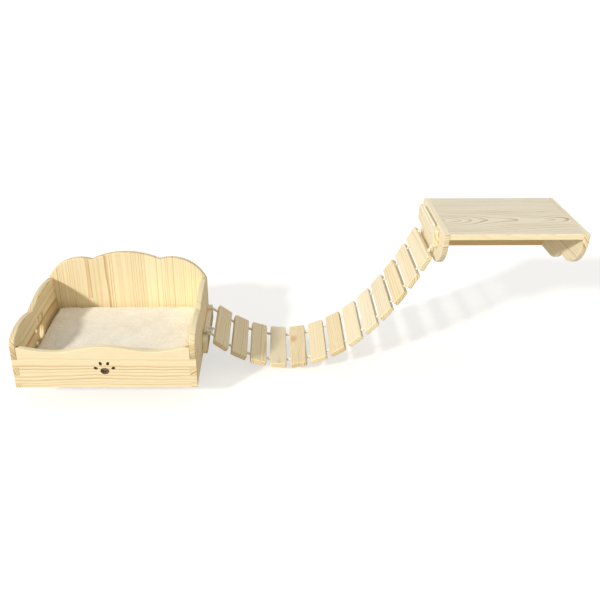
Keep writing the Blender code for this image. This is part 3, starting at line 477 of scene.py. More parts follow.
def solid_of(node):
    """A bmesh of a solid, with its loose triangles merged into flat faces."""
    bm = bmesh.new()
    bm.from_mesh(frame["nodes"][node].data)
    bmesh.ops.remove_doubles(bm, verts=bm.verts, dist=0.01 * MM)
    bmesh.ops.dissolve_limit(bm, angle_limit=math.radians(0.5), verts=bm.verts, edges=bm.edges)
    return bm


def stand_in(piece, slot, body, *nodes):
    """Says which body moves a piece, if any, and which solids it replaces, by hiding them. The slot is not
    used.
    """
    if body:
        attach(piece, body)
    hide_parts(*nodes)
    return piece


def add_piece(name, bm, material, body, slot, node):
    """Makes a piece of a bmesh, which moves with a body and stands for one solid."""
    mesh = mesh_of(name, bm)
    mesh.materials.append(material)
    mesh.shade_smooth()
    mesh.set_sharp_from_angle(angle=SHARP)
    return stand_in(in_scene(name, mesh), slot, body, node)


def keep_flats_flat(piece):
    """Shades the broad faces flat and the rounded edges smooth."""
    modifier = piece.modifiers.new("flats", "WEIGHTED_NORMAL")
    modifier.keep_sharp = True
    modifier.weight = 100


def near_metal(point):
    """Whether a place lies at a screw, dowel or hanger, whose holes and pockets keep their edges."""
    for low, high in hardware:
        if all(low[axis] - HOLE_MARGIN < point[axis] < high[axis] + HOLE_MARGIN for axis in range(3)):
            return True
    return False


def soften(bm, is_free, width=EDGE_ROUND):
    """Rounds the sharp edges whose middle is_free accepts."""
    edges = []
    for edge in bm.edges:
        middle = (edge.verts[0].co + edge.verts[1].co) / 2
        if len(edge.link_faces) == 2 and edge.calc_face_angle() > SHARP and is_free(middle):
            edges.append(edge)
    bmesh.ops.bevel(bm, geom=edges, offset=width, segments=3, **ROUNDED)
    return len(edges)


def board(name, node, material, slot, is_free, is_fine=None):
    bm = solid_of(node)
    count = soften(bm, is_fine, PAW_ROUND) if is_fine else 0
    count += soften(bm, lambda point: is_free(point) and not near_metal(point))
    piece = add_piece(name, bm, material, "root", slot, node)
    keep_flats_flat(piece)
    print(f"{name}: {count} edges rounded, {len(piece.data.polygons)} faces")


# %% [markdown]
# ## Bed box
# The back panel is glued up from upright strips, because a scalloped top needs a tall board. The front panel
# is one wide piece whose grain runs along it, in broad dark streaks. The side panels run front to back. The
# walls of the front panel's paw are painted dark brown as shade, and the left panel's paw was sawn and sanded.

# %% Bed box
back_pine = wood(
    "pine_back_strips", PINE, Z, Vector((0.05, 0.11, 0)), strips=(X, 52 * MM, 1.15), wave=(2.4, 10 * MM)
)
front_grain = Vector((1, 0.02, 0.02)).normalized()
front_pine = wood(
    "pine_front_board", PINE, front_grain, Vector((0, -0.533, 0.085)),
    wave=(5.0, 13 * MM), plain=0.212, figure=1.3,
)
left_pine = wood("pine_left_board", PINE, Y, Vector((-0.31, 0, -0.02)), strips=(Z, 74 * MM, 2.0), figure=1.3)
right_pine = wood(
    "pine_right_board", PINE, Y, Vector((0.30, 0, -0.09)), strips=(Z, 83 * MM, 2.0), figure=0.9, tone=1.07
)
floor_pine = wood("pine_floor_board", PINE, X, Vector((0, -0.2, -0.2)), strips=(Y, 70 * MM, 0.5))
FLUSH = 0.6 * MM
SIDE_PAW_MIDDLE = -0.175  # metres in front of the wall
SIDE_PAW_REACH = 65 * MM  # to the front and the rear
SIDE_PAW_HEIGHTS = (25 * MM, 105 * MM)
FRONT_PAW = Vector((0, BED_FRONT + PANEL / 2, BED_LOW + 52 * MM))
FRONT_PAW_REACH = 38 * MM


def free_on_front(point):
    return point.z > JOINT_TOP and abs(point.x) < BED_HALF - PANEL - FLUSH


def at_side_paw(point):
    bottom, top = SIDE_PAW_HEIGHTS
    return abs(point.y - SIDE_PAW_MIDDLE) < SIDE_PAW_REACH and BED_LOW + bottom < point.z < BED_LOW + top


def free_on_side(point):
    return point.z > JOINT_TOP and point.y < -PANEL - FLUSH and not at_side_paw(point)


def paint_paw_shade(material, middle, reach):
    """Paints shade on the walls of a cut near a place: the faces that don't look along Y are darkened."""
    tree = material.node_tree
    shader = tree.nodes["Principled BSDF"]
    clean = shader.inputs["Base Color"].links[0].from_socket
    source = add(tree, "TexCoord")
    away = add(tree, "VectorMath", [source["Object"], middle], "DISTANCE")["Value"]
    near = add(tree, "Math", [away, reach], "LESS_THAN")[0]
    facing = add(tree, "SeparateXYZ", [source["Normal"]])[1]
    facing = add(tree, "Math", [facing], "ABSOLUTE")[0]
    wall = add(tree, "MapRange", [facing, 0.8, 0.4, 0, 0.9])[0]
    painted_shade = add(tree, "Math", [near, wall], "MULTIPLY")[0]
    # Painted shade: a dark brown on the paw's walls, where shade falls inside the holes.
    colour = add(tree, "Mix", {0: painted_shade, 6: clean, 7: linear("5E4020")}, data_type="RGBA")[2]
    feed(tree, shader, {"Base Color": colour})


# The front paw's walls get painted shade.
paint_paw_shade(front_pine, FRONT_PAW, FRONT_PAW_REACH)
board("back_panel", "bed_back_panel", back_pine, "bed_pine", lambda point: point.z > JOINT_TOP)
board("front_panel", "bed_front_panel", front_pine, "bed_pine", free_on_front)
board("left_panel", "bed_left_panel", left_pine, "bed_pine", free_on_side, at_side_paw)
board("right_panel", "bed_right_panel", right_pine, "bed_pine", free_on_side)
board("floor_board", "bed_floor_board", floor_pine, "floor_pine", lambda point: False)

# %% [markdown]
# ## Shelf
# The shelf's top is a flat-sawn board, so its rings are cut nearly level and draw long pointed arches. Its
# upper face is painted greyer than its own front edge, as painted reflection of the sky on its coat. The
# brackets have more sapwood than the bed and are paler, and the rail at the back is browner heartwood.

# %% Shelf
shelf_low, shelf_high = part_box("shelf_board")
SHELF_CENTRE = (shelf_low.x + shelf_high.x) / 2
ARCH_TIP = Vector((0.912, -0.1647, shelf_high.z))  # the point of the arch in the top's figure
ARCH_SLOPE = 0.10  # how steeply the log dips under the board
ARCH_RADIUS = 52 * MM
top_grain, top_pith = Vector((1, 0.03, -ARCH_SLOPE)).normalized(), ARCH_TIP - Z * ARCH_RADIUS
# The top's upper face gets the full share of painted sky reflection, which greys it.
top_pine = wood(
    "pine_shelf_top", PINE, top_grain, top_pith, rings=5 * MM, wave=(8.0, 20 * MM), figure=1.6, painted_sky_sheen=1.0
)
bracket_strips = (Z, 90 * MM, 1.4)
bracket_pine = wood(
    "pine_brackets", PINE, Y, Vector((0.9, 0, 0.12)), strips=bracket_strips, figure=0.7, pale=0.6, tone=1.08
)
rail_pine = wood("pine_rail", HEARTWOOD, X, Vector((0, 0.06, 0.11)))


def free_on_bracket(point):
    at_board = shelf_low.x - MM < point.x < shelf_high.x + MM and point.z > shelf_low.z - MM
    on_outside = abs(point.x - SHELF_CENTRE) > (shelf_high.x - shelf_low.x) / 2 + PANEL - MM
    at_top = point.z > shelf_high.z - 0.1 * MM
    return not at_board and (on_outside or not at_top)


def free_on_shelf(point):
    return shelf_low.x + FLUSH < point.x < shelf_high.x - FLUSH and point.y < -FLUSH


def free_on_rail(point):
    return free_on_shelf(point) and point.z < shelf_low.z - 100 * MM


board("shelf_top", "shelf_board", top_pine, "shelf_pine", free_on_shelf)
board("shelf_rail", "shelf_back_board", rail_pine, "shelf_pine", free_on_rail)
board("left_bracket", "shelf_left_bracket", bracket_pine, "shelf_pine", free_on_bracket)
board("right_bracket", "shelf_right_bracket", bracket_pine, "shelf_pine", free_on_bracket)

# %% [markdown]
# ## Slats
# The slats are cut from offcuts, so each one has its own figure and tone: pale, tan or streaked, and one has
# a knot. All fifteen share one shape, made from a cube with its corners and rims rounded, then drilled for
# the rope. Each copy's place is read from its solid, whose largest face shows how steeply the slat hangs.

# %% Slat shape
SLAT_COUNT = 13
SLAT_LENGTH = 210 * MM
SLAT_WIDTH = 44 * MM
SLAT_THICKNESS = 13.5 * MM
SLAT_CORNER = 5 * MM
SLAT_RIM = 2.5 * MM
ROPE_HOLE = 4 * MM
ROPE_INSET = 35 * MM  # from a slat's end to its rope hole


def rounded_block(size, middle, corner, rim):
    """A block with its upright corners rounded, and then its level rims."""
    bm = bmesh.new()
    bmesh.ops.create_cube(bm, size=1, matrix=Matrix.Translation(middle) @ Matrix.Diagonal((*size, 1)))
    for upright, width, segments in ((True, corner, 6), (False, rim, 4)):
        edges = [edge for edge in bm.edges if (abs(edge.verts[0].co.z - edge.verts[1].co.z) > MM) == upright]
        bmesh.ops.bevel(bm, geom=edges, offset=width, segments=segments, **ROUNDED)
    return bm


def drilled(drills):
    """A flat slat at the origin, with its width along X, its length along Y and round holes drilled through.
    Each drill is a place, an axis, a radius and a length."""
    size = (SLAT_WIDTH, SLAT_LENGTH, SLAT_THICKNESS)
    blank = in_scene("blank", mesh_of("blank", rounded_block(size, (0, 0, 0), SLAT_CORNER, SLAT_RIM)))
    helpers = [blank]
    for place, axis, radius, length in drills:
        bm = bmesh.new()
        aim = Matrix.Translation(place) @ Z.rotation_difference(axis).to_matrix().to_4x4()
        ends = {"radius1": radius, "radius2": radius, "depth": length}
        bmesh.ops.create_cone(bm, cap_ends=True, segments=32, matrix=aim, **ends)
        bit = in_scene("bit", mesh_of("bit", bm))
        blank.modifiers.new("hole", "BOOLEAN").object = bit
        helpers.append(bit)
    made = finished_mesh(blank)
    for helper in helpers:
        bpy.data.objects.remove(helper)
    return made


row_reach = SLAT_LENGTH / 2 - ROPE_INSET
rope_drills = [(Vector((0, side * row_reach, 0)), X, ROPE_HOLE, 2 * SLAT_WIDTH) for side in (-1, 1)]
slat_mesh = drilled(rope_drills)
print(f"one slat: {len(slat_mesh.polygons)} faces")

# %% [markdown]
# The tones are listed from the bed to the shelf, because that is how the offcuts happened to fall.
# The logs are random, from one seed, so that the slats look alike each time the script runs.

# %% Slats
SLAT_TONES = (0.96, 0.97, 1.03, 0.97, 0.95, 1.0, 0.94, 1.0, 1.01, 0.98, 0.96, 1.0, 1.0)
SLAT_FIGURES = (0.7, 0.8, 0.6, 0.5, 1.6, 0.4, 1.2, 0.4, 0.4, 0.6, 1.4, 0.6, 0.6)
SLAT_PALENESS = (0.0, 0.0, 0.0, 0.3, 0.0, 0.15, 0.0, 0.35, 0.55, 0.5, 0.0, 0.4, 0.4)
KNOT_SLAT = 5
KNOT_MIDDLE = Vector((-10.7 * MM, 30 * MM, SLAT_THICKNESS / 2))  # on the top of the flat slat
KNOT_RADIUS = 14 * MM
PITH_REACH = (30 * MM, 75 * MM)  # how far from a slat the middle of its log lies
GRAIN_SLANT = 0.03
SLAT_RINGS = (4, 8)  # millimetres
chance = random.Random(7)


def turned_at(node, angle):
    """The matrix that turns a flat slat about Y and lays it in the middle of its solid."""
    low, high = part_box(node)
    return Matrix.Translation((low + high) / 2) @ Matrix.Rotation(angle, 4, "Y")


def slat_frame(node):
    """The matrix that lays a flat slat where its solid hangs."""
    faces = [face for face in frame["nodes"][node].data.polygons if face.normal.z > 0.2]
    up = max(faces, key=lambda face: face.area).normal
    return turned_at(node, -math.atan2(-up.x, up.z))


def slat_wood(name, place, tone, figure, pale, knot=None):
    angle = chance.uniform(0, 2 * math.pi)
    reach = chance.uniform(*PITH_REACH)
    pith = place.to_translation() + Vector((math.cos(angle), 0, math.sin(angle))) * reach
    slant = [chance.uniform(-GRAIN_SLANT, GRAIN_SLANT) for _ in range(2)]
    grain = Vector((slant[0], 1, slant[1])).normalized()
    rings = chance.uniform(*SLAT_RINGS) * MM
    return wood(name, PINE, grain, pith, rings=rings, tone=tone, figure=figure, pale=pale, knot=knot)


def place_slat(name, node, place, mesh, material, body):
    bm = bmesh.new()
    bm.from_mesh(mesh)
    bmesh.ops.transform(bm, matrix=place, verts=bm.verts)
    keep_flats_flat(add_piece(name, bm, material, body, "slat_pine", node))


slat_frames = [slat_frame(f"bridge_slat_{number:02d}") for number in range(1, SLAT_COUNT + 1)]
for number, place in enumerate(slat_frames, 1):
    name = f"slat_{number:02d}"
    knot = (place @ KNOT_MIDDLE, place.to_3x3() @ Z, KNOT_RADIUS) if number == KNOT_SLAT else None
    looks = [listed[number - 1] for listed in (SLAT_TONES, SLAT_FIGURES, SLAT_PALENESS)]
    material = slat_wood(f"pine_{name}", place, *looks, knot)
    place_slat(name, f"bridge_{name}", place, slat_mesh, material, name)
print(f"{SLAT_COUNT} slats hung")

# %% [markdown]
# The two anchor slats stand upright against the bed and the bracket. Each is held by two screws, so each has
# two more holes, drilled from the face that lies against its board. They have more sapwood and are paler.

# %% Anchor slats
ANCHOR_LOOKS = (1.08, 0.7, 0.6)  # tone, figure and paleness
SCREW_INSET = 70 * MM  # from an anchor's end to its screw
SCREW_HOLE = 2.1 * MM
SCREW_DEPTH = 9 * MM
screw_reach = SLAT_LENGTH / 2 - SCREW_INSET
screw_drills = [
    (Vector((0, side * screw_reach, -SLAT_THICKNESS / 2)), Z, SCREW_HOLE, 2 * SCREW_DEPTH) for side in (-1, 1)
]
anchor_mesh = drilled(rope_drills + screw_drills)
anchor_frames = {}
for side, facing in (("bed", 1), ("shelf", -1)):
    node = f"bridge_anchor_{side}"
    place = anchor_frames[side] = turned_at(node, facing * math.pi / 2)
    material = slat_wood(f"pine_anchor_{side}", place, *ANCHOR_LOOKS)
    place_slat(f"anchor_slat_{side}", node, place, anchor_mesh, material, "root")
print(f"{len(anchor_frames)} anchor slats")

# %% [markdown]
# ## Metal and dowels
# The hangers and screws are bright zinc-plated steel: a thin bluish coat over rolled sheet, which reflects
# softly and unevenly. They are small, so a merged copy of each solid with smooth shading is enough. The
# dowels are hidden in their holes, and keep their solids.

# %% Metal and dowels
def zinc():
    """Zinc plate on steel: blue-grey and metallic. The plating bath leaves clouds 4 mm wide in its gloss, and
    the rolled sheet has shallow dents 1 mm wide."""
    material, tree, shader = new_material("zinc_plated_steel", 0.34)
    place = add(tree, "TexCoord")["Object"]
    clouds = add(tree, "TexNoise", {"Vector": place, "Scale": 260.0, "Detail": 3.0})["Fac"]
    gloss = add(tree, "MapRange", [clouds, 0, 1, 0.24, 0.46])[0]
    dents = add(tree, "TexNoise", {"Vector": place, "Scale": 900.0, "Detail": 2.0})["Fac"]
    bump = add(tree, "Bump", {"Height": dents, "Strength": 0.15, "Distance": 0.05 * MM})[0]
    feed(tree, shader, {"Base Color": linear("C4C9CF"), "Metallic": 1.0, "Roughness": gloss, "Normal": bump})
    return material


zinc_steel = zinc()
HANGER_ROUND = 0.2 * MM
for node in frame["nodes"]:
    if "screw" in node:
        add_piece(f"dressed_{node}", solid_of(node), zinc_steel, "root", "zinc_steel", node)
    elif "hanger" in node:
        bm = solid_of(node)
        soften(bm, lambda point: True, HANGER_ROUND)
        keep_flats_flat(add_piece(f"dressed_{node}", bm, zinc_steel, "root", "zinc_steel", node))
    elif "dowel" in node:
        dowel = frame["nodes"][node]
        dowel.data.materials.clear()
        middle = sum(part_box(node), Vector()) / 2
        dowel.data.materials.append(wood(f"beech_{node}", BEECH, X, middle + Z * 20 * MM, rings=2 * MM))
print("hangers, screws and dowels done")

# %% [markdown]
# ## Mat
# The mat is a thin pad in a cover of short off-white plush, cut to fill the bed from wall to wall. It starts
# as a block with rounded corners, gets an even skin of small faces, and is blown up with a little pressure
# as cloth, with a limit on how far each point may move. Then its middle is crowned, its skin is divided once
# more, and its pile is raised: low clumps from noise, as geometry.

# %% Mat
MAT_CORNER = 13 * MM
MAT_RIM = 9 * MM
MAT_CROWN = 5 * MM
MAT_VOXEL = 4.5 * MM
MAT_PRESSURE = 4.0
MAT_SHRINK = 3 * MM
MAT_MOST_SWELL = 5 * MM
MAT_FRAMES = 20
MAT_WALL_GAP = 1 * MM
PILE_CLUMP = 7 * MM
PILE_HEIGHT = 0.9 * MM
PILE_SWELL = (60 * MM, 1.6)  # how wide the broad waves of the skin are, and how high against the clumps
PILE_FADE = 10 * MM  # the height over its board at which the pile is full
mat_low, mat_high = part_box("bed_mat")
mat_middle = (mat_low + mat_high) / 2


def mat_room(gap):
    """Half the width, the front and the rear of the room in the bed, less a gap all round."""
    return BED_HALF - PANEL - gap, BED_FRONT + PANEL + gap, -PANEL - gap


def mat_block():
    """A block with rounded corners and rims, a little smaller than the room that the mat has."""
    inner, front, rear = mat_room(MAT_SHRINK)
    top = mat_high.z - MAT_CROWN - MAT_SHRINK
    size = (2 * inner, rear - front, top - mat_low.z)
    middle = (0, (front + rear) / 2, (mat_low.z + top) / 2)
    return rounded_block(size, middle, MAT_CORNER, MAT_RIM)


def settle(piece):
    """Applies a piece's modifiers to its mesh."""
    made = finished_mesh(piece)
    piece.modifiers.clear()
    piece.data = made


def evened(bm):
    """The mat as an object with an even skin of small faces."""
    mat = in_scene("mat", mesh_of("mat", bm))
    remesh = mat.modifiers.new("even", "REMESH")
    remesh.mode = "VOXEL"
    remesh.voxel_size = MAT_VOXEL
    settle(mat)
    return mat


def blow_up(mat):
    """Fills the mat with a little pressure and limits how far each point moves."""
    before = [vert.co.copy() for vert in mat.data.vertices]
    cloth = mat.modifiers.new("cloth", "CLOTH")
    cloth.settings.use_pressure = True
    cloth.settings.uniform_pressure_force = MAT_PRESSURE
    cloth.settings.effector_weights.gravity = 0.0
    for number in range(1, MAT_FRAMES + 1):
        bpy.context.scene.frame_set(number)
    settle(mat)
    for vert, rest in zip(mat.data.vertices, before):
        move = vert.co - rest
        if move.length > MAT_MOST_SWELL:
            vert.co = rest + move * (MAT_MOST_SWELL / move.length)
    bpy.context.scene.frame_set(1)


def crown(mat):
    """Lifts the middle of the mat: its filling is thicker there than at its seams."""
    size = mat_high - mat_low
    for vert in mat.data.vertices:
        across, along = (2 * (vert.co[axis] - mat_middle[axis]) / size[axis] for axis in (0, 1))
        share = max(0, 1 - across**4) * max(0, 1 - along**4)
        level = min(max((vert.co.z - mat_low.z) / (mat_high.z - mat_low.z), 0), 1)
        vert.co.z += MAT_CROWN * share * level


def keep_in_bed(mat):
    """The mat lies flat on its board and stays clear of the panels."""
    inner, front, rear = mat_room(MAT_WALL_GAP)
    lows, highs = (-inner, front, mat_low.z), (inner, rear, mat_high.z)
    for vert in mat.data.vertices:
        vert.co = [min(max(value, low), high) for value, low, high in zip(vert.co, lows, highs)]


def raise_pile(mat):
    """Lifts the skin in soft clumps, less where it lies on its board."""
    normals = [vert.normal.copy() for vert in mat.data.vertices]
    width, height = PILE_SWELL
    for vert, normal in zip(mat.data.vertices, normals):
        share = min(max((vert.co.z - mat_low.z) / PILE_FADE, 0), 1)
        clump = noise.noise(vert.co / PILE_CLUMP) + 0.5 * noise.noise(vert.co / (PILE_CLUMP / 2))
        swell = noise.noise(vert.co / width) * height
        vert.co += normal * (clump + swell) * PILE_HEIGHT * share


mat = evened(mat_block())
blow_up(mat)
crown(mat)
divide = mat.modifiers.new("divide", "SUBSURF")
divide.levels = divide.render_levels = 1
settle(mat)
raise_pile(mat)
keep_in_bed(mat)
mat.data.shade_smooth()
print(f"mat: {len(mat.data.polygons)} faces")

# %% [markdown]
# Plush scatters light at its edges, where the pile stands up against it, so it gets sheen. Its pile is about
# 4 mm long and shows as a fine mottle: the noise that raises the tufts also colours them, so they are
# lighter on the tips and a little warmer down between them, which is painted shade, over random patches of
# tone. Cotton rope is the same kind of surface, only finer, so one function serves both.


# %% Plush
def soft_fibre(name, roughness, sheen, tufts, patches, span, colours, bump):
    """A matt material of fine fibres. Tufts and patches are noises, each with its number in a metre and its
    detail, and patches with its share too. Where their sum passes through the span, the colour changes."""
    material, tree, shader = new_material(name, roughness)
    place = add(tree, "TexCoord")["Object"]
    fine = add(tree, "TexNoise", {"Vector": place, "Scale": tufts[0], "Detail": tufts[1]})["Fac"]
    broad = add(tree, "TexNoise", {"Vector": place, "Scale": patches[0], "Detail": patches[1]})["Fac"]
    # The tuft noise is also the bump's height, so the low colour falls in the hollows between tufts: painted
    # shade there, over a random mottle from the patches.
    both = add(tree, "Math", [broad, patches[2], fine], "MULTIPLY_ADD")[0]
    share = add(tree, "MapRange", [both, *span])[0]
    low, high = (linear(colour) for colour in colours)
    colour = add(tree, "Mix", {0: share, 6: low, 7: high}, data_type="RGBA")[2]
    bump = add(tree, "Bump", {"Height": fine, "Strength": bump[0], "Distance": bump[1]})[0]
    looks = {"Base Color": colour, "Sheen Weight": sheen[0], "Sheen Roughness": sheen[1], "Normal": bump}
    feed(tree, shader, looks)
    return material


# Short polyester plush: matt, soft-edged and off-white, with tufts 3 mm wide.
plush = soft_fibre(
    "off_white_plush", roughness=0.95, sheen=(0.35, 0.6), tufts=(330.0, 4.0), patches=(28.0, 3.0, 0.6),
    span=(0.55, 1.0), colours=("E8E2D2", "FFFCF3"), bump=(0.6, 0.8 * MM),
)
mat.data.materials.clear()
mat.data.materials.append(plush)
stand_in(mat, "plush_mat", "mat", "bed_mat")
print("mat covered")

# %% [markdown]
# ## Rope
# One rope carries the whole bridge. It leaves the knot on the bed's anchor, runs out through the front
# holes, up through the shelf's anchor, over its top, down, and back through the rear holes to the bed's
# anchor. A rope is three strands laid round each other, so its middle line comes first, and three lines wind
# round it.

# %% Rope route
ROPE_RADIUS = 3.5 * MM
ROPE_STEP = 1.6 * MM
WRAP_RADIUS = 4.1 * MM  # bend of the rope's middle round a hole's rim
OVER_RISE = 3 * MM  # rope that goes on straight above the bed's anchor
KNOT_REACH = 12 * MM  # rope between the first slat and the middle of the knot's underside
slat_y = slat_frames[0].to_translation().y
FRONT, REAR = slat_y - row_reach, slat_y + row_reach


def line(first, last):
    count = max(2, round((last - first).length / ROPE_STEP))
    return [first.lerp(last, step / count) for step in range(count + 1)]


def bend(first, heading, last, arrival):
    """A smooth curve from one place and heading to another."""
    reach = (last - first).length / 3
    count = max(4, round((last - first).length / ROPE_STEP)) + 1
    return geometry.interpolate_bezier(first, first + heading * reach, last - arrival * reach, last, count)


def arc(centre, first, last):
    """A round stretch about centre, from first to last."""
    begin, finish = first - centre, last - centre
    axis = begin.cross(finish).normalized()
    angle = begin.angle(finish)
    count = max(4, round(angle * begin.length / ROPE_STEP))
    return [centre + Matrix.Rotation(angle * step / count, 3, axis) @ begin for step in range(count + 1)]


def wrap(x, first, last, rim, up):
    """Out of one hole of an anchor, along its edge and into the other."""
    toward = 1 if last > first else -1
    level = rim + up * WRAP_RADIUS
    lead, follow = first + toward * WRAP_RADIUS, last - toward * WRAP_RADIUS
    out = arc(Vector((x, lead, rim)), Vector((x, first, rim)), Vector((x, lead, level)))
    back = arc(Vector((x, follow, rim)), Vector((x, follow, level)), Vector((x, last, rim)))
    return out + line(out[-1], back[0])[1:] + back[1:]


def slat_ends(number, y):
    """Where the rope enters and leaves a slat's hole, and its heading."""
    place = slat_frames[number]
    along = place.to_3x3() @ X
    middle = place.to_translation()
    middle.y = y
    return middle - along * SLAT_WIDTH / 2, middle + along * SLAT_WIDTH / 2, along


def row_route(y, first_bay, last_bay):
    """One row of the rope, from the bed to the shelf, as stretches named by their piece."""
    stretches = [("bay_01", first_bay)]
    for number in range(SLAT_COUNT):
        entry, leave, along = slat_ends(number, y)
        stretches.append((f"slat_{number + 1:02d}", line(entry, leave)))
        if number + 1 < SLAT_COUNT:
            onward, _, heading = slat_ends(number + 1, y)
            stretches.append((f"bay_{number + 2:02d}", bend(leave, along, onward, heading)))
    return stretches + [(f"bay_{SLAT_COUNT + 1}", last_bay)]


def through(anchor, y, way, more=0.0):
    """Through an anchor's hole, up where way is 1 and down where it is -1, and a little more."""
    middle, half = Vector((anchor.x, y, anchor.z)), way * SLAT_WIDTH / 2
    return line(middle - Z * half, middle + Z * (half + more))


def whole_route():
    """The rope's middle line from the knot to the knot, as (piece, points) stretches."""
    bed, shelf = (anchor_frames[side].to_translation() for side in ("bed", "shelf"))
    half = SLAT_WIDTH / 2
    rows = {}
    for y in (FRONT, REAR):
        entry, _, along = slat_ends(0, y)
        if y == FRONT:
            start = line(entry - along * KNOT_REACH, entry)
        else:
            above = bed.z + half + OVER_RISE
            normal = Vector((-along.z, 0.0, along.x))
            radius = (entry - Vector((bed.x, y, above))).dot(normal) / (1 - along.z)
            centre = Vector((bed.x + radius, y, above))
            over = arc(centre, centre - X * radius, centre + normal * radius)
            start = line(Vector((bed.x, y, bed.z + half)), over[0]) + over[1:] + line(over[-1], entry)[1:]
        _, leave, heading = slat_ends(SLAT_COUNT - 1, y)
        below = Vector((shelf.x, y, shelf.z - half))
        rows[y] = row_route(y, start, bend(leave, heading, below, Z))
    over_shelf = wrap(shelf.x, FRONT, REAR, shelf.z + half, 1)
    over_shelf = through(shelf, FRONT, 1)[:-1] + over_shelf + through(shelf, REAR, -1)[1:]
    under_bed = wrap(bed.x, REAR, FRONT, bed.z - half, -1)
    under_bed = through(bed, REAR, -1)[:-1] + under_bed + through(bed, FRONT, 1, OVER_RISE)[1:]
    returning = [(piece, points[::-1]) for piece, points in reversed(rows[REAR])]
    return rows[FRONT] + [("shelf_anchor", over_shelf)] + returning + [("bed_anchor", under_bed)]


route = whole_route()
rope_length = sum((b - a).length for _, points in route for a, b in zip(points, points[1:]))
print(f"rope without its knot: {rope_length * 1000:.0f} mm in {len(route)} stretches")

# %% [markdown]
# The strands need a frame that travels along the line without twisting of its own, or they would bunch up at
# the bends. Each step turns the frame just enough to follow the line. Then the lay is the only twist in it:
# one turn in about three and a half rope diameters, as on real hard-laid cotton.

# %% Strands
STRAND_RADIUS = ROPE_RADIUS / (1 + 2 / math.sqrt(3))
LAY = 25 * MM
STRANDS = 3
STRAND_SQUASH = 1.03  # the strands are drawn a little thicker, so that they press into each other


def strands_of(points):
    """For each point of a line, the places of the strands round it."""
    heading = (points[1] - points[0]).normalized()
    side = (Y - heading * Y.dot(heading)).normalized()
    travelled = 0.0
    rows = []
    for index, point in enumerate(points):
        before, after = points[max(index - 1, 0)], points[min(index + 1, len(points) - 1)]
        onward = (after - before).normalized()
        side.rotate(heading.rotation_difference(onward))
        heading = onward
        if index:
            travelled += (point - points[index - 1]).length
        places = []
        for strand in range(STRANDS):
            angle = 2 * math.pi * (travelled / LAY + strand / STRANDS)
            out = Matrix.Rotation(angle, 3, heading) @ side
            places.append(point + out * (ROPE_RADIUS - STRAND_RADIUS))
        rows.append(places)
    return rows


# Cotton: soft matt fibre, near white, with yarns 0.7 mm wide, and a creamier tone down between them that is
# painted shade.
cotton_rope = soft_fibre(
    "cotton_rope", roughness=0.92, sheen=(0.25, 0.5), tufts=(1400.0, 3.0), patches=(90.0, 2.0, 0.7),
    span=(0.6, 1.1), colours=("F0E8D6", "FFFDF6"), bump=(0.5, 0.3 * MM),
)


def strand_piece(name, runs, taper=0):
    """Round strands along runs of places, as one piece of rope, whose ends narrow over the steps of taper."""
    curve = bpy.data.curves.new(name, "CURVE")
    curve.dimensions = "3D"
    curve.bevel_depth = STRAND_RADIUS * STRAND_SQUASH
    curve.bevel_resolution = 2
    curve.use_fill_caps = True
    for run in runs:
        for strand in range(STRANDS):
            spline = curve.splines.new("POLY")
            spline.points.add(len(run) - 1)
            for index, (point, places) in enumerate(zip(spline.points, run)):
                point.co = (*places[strand], 1.0)
                from_end = min(index, len(run) - 1 - index)
                if from_end < taper:
                    point.radius = 0.45 + 0.55 * math.sin(from_end / taper * math.pi / 2)
    drawn = in_scene(name, curve)
    mesh = finished_mesh(drawn)
    bpy.data.objects.remove(drawn)
    mesh.materials.clear()
    mesh.materials.append(cotton_rope)
    return in_scene(name, mesh)


all_points = [route[0][1][0]] + [point for _, points in route for point in points[1:]]
all_places = strands_of(all_points)
rope_runs = {}
start = 0
for piece, points in route:
    end = start + len(points) - 1
    rope_runs.setdefault(piece, []).append(all_places[start : end + 1])
    start = end
print(f"{len(all_points)} points, {len(rope_runs)} pieces of rope")

# %% [markdown]
# ## Rope that sways
# When the bridge sways, each slat slides by its own share, and the rope between two slats has to follow
# both. Here the rope inside each slat moves with that slat, and each stretch between two slats has its place
# baked into its mesh and no body: it is not blended between the slats.

# %% Rope pieces
BED_LEAD = 7 * MM  # from the middle of the bed's anchor to the first bay's start; hang reads this place but blends nothing
shares = {c["joint"]: c["ratio"] for c in frame["record"]["behaviour"]["couplings"]}
sway = [shares.get(f"slat_{number:02d}_sway", 1.0) for number in range(1, SLAT_COUNT + 1)]
sway = [0.0] + sway + [0.0]


def hang(piece, bay):
    """Bakes one bay's place into its mesh, and compares the shares of the slats on its two sides without
    blending it between them. Bay 1 is next to the bed.
    """
    before, after = sway[bay - 1], sway[bay]
    leave = slat_ends(bay - 2, FRONT)[1] if bay > 1 else bay_start
    entry = slat_ends(bay - 1, FRONT)[0] if bay <= SLAT_COUNT else bay_end
    if after >= before:
        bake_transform(piece)
    else:
        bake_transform(piece)


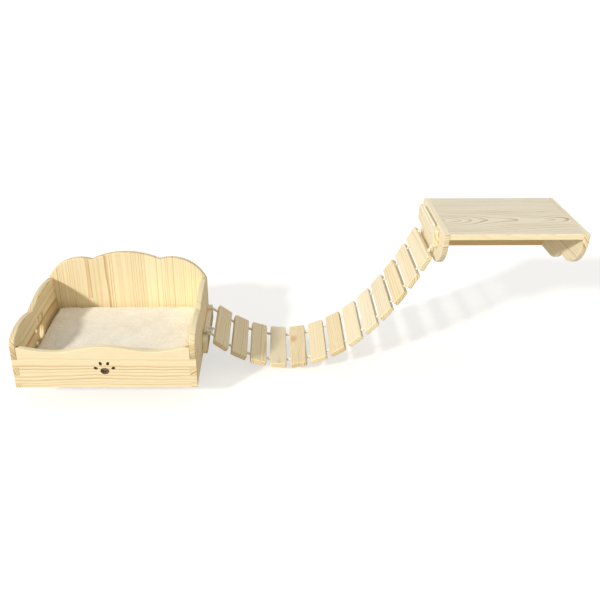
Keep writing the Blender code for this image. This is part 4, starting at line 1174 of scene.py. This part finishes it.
bay_start = anchor_frames["bed"].to_translation() + Vector((BED_LEAD, 0, SLAT_WIDTH / 2))
bay_end = anchor_frames["shelf"].to_translation() - Z * (SLAT_WIDTH / 2 + MM)
for name, runs in rope_runs.items():
    piece = strand_piece(f"rope_{name}", runs)
    bay = int(name[-2:]) if name.startswith("bay") else None
    body = name if name.startswith("slat") else "root"
    stand_in(piece, "cotton_rope", None if bay else body, "bridge_rope")
    if bay:
        hang(piece, bay)
print(f"{sum(len(runs) for runs in rope_runs.values())} runs of rope")

# %% [markdown]
# ## Knot
# The rope's two ends are tied over the bed's anchor. An overhand knot is a three-lobed loop whose strand
# goes over and under itself. One formula draws it, opened at one lobe, where the two tails come out.

# %% Knot
KNOT_SCALE = 3.8 * MM
KNOT_LOBE = 2.5
KNOT_HEIGHT = 5.5 * MM
KNOT_OPENING = 0.72
KNOT_TAIL = 9 * MM
KNOT_TURN = math.radians(50)
KNOT_STEPS = 110
KNOT_GAP = 0.6 * MM  # between the knot and the bed


def knot_line():
    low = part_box("rope_knot")[0]
    reach = (1 + KNOT_LOBE) * KNOT_SCALE + ROPE_RADIUS
    centre = Vector((BED_HALF + KNOT_GAP + reach, FRONT, low.z + KNOT_HEIGHT + ROPE_RADIUS))
    turn = Matrix.Rotation(KNOT_TURN, 3, "Z")
    points = []
    for step in range(KNOT_STEPS + 1):
        angle = math.pi + KNOT_OPENING + (2 * math.pi - 2 * KNOT_OPENING) * step / KNOT_STEPS
        across = math.sin(angle) + KNOT_LOBE * math.sin(2 * angle)
        along = math.cos(angle) - KNOT_LOBE * math.cos(2 * angle)
        rise = -KNOT_HEIGHT * math.sin(3 * angle)
        points.append(centre + turn @ Vector((across * KNOT_SCALE, along * KNOT_SCALE, rise)))
    tails = []
    for end, before in ((0, 1), (-1, -2)):
        heading = points[end] - points[before]
        heading.z = 0.0
        tails.append(points[end] + heading.normalized() * KNOT_TAIL)
    return line(tails[0], points[0])[:-1] + points + line(points[-1], tails[1])[1:]


knot_piece = strand_piece("knot", [strands_of(knot_line())], taper=2)
stand_in(knot_piece, "cotton_rope", "root", "rope_knot")
print(f"knot: {len(knot_piece.data.polygons)} faces")

# %% [markdown]
# ## Size of the solids
# The box round the solids, taken before any piece was dressed, has its size printed.

# %% Finish
print("solids", [round(v, 4) for v in solid_box[1] - solid_box[0]])
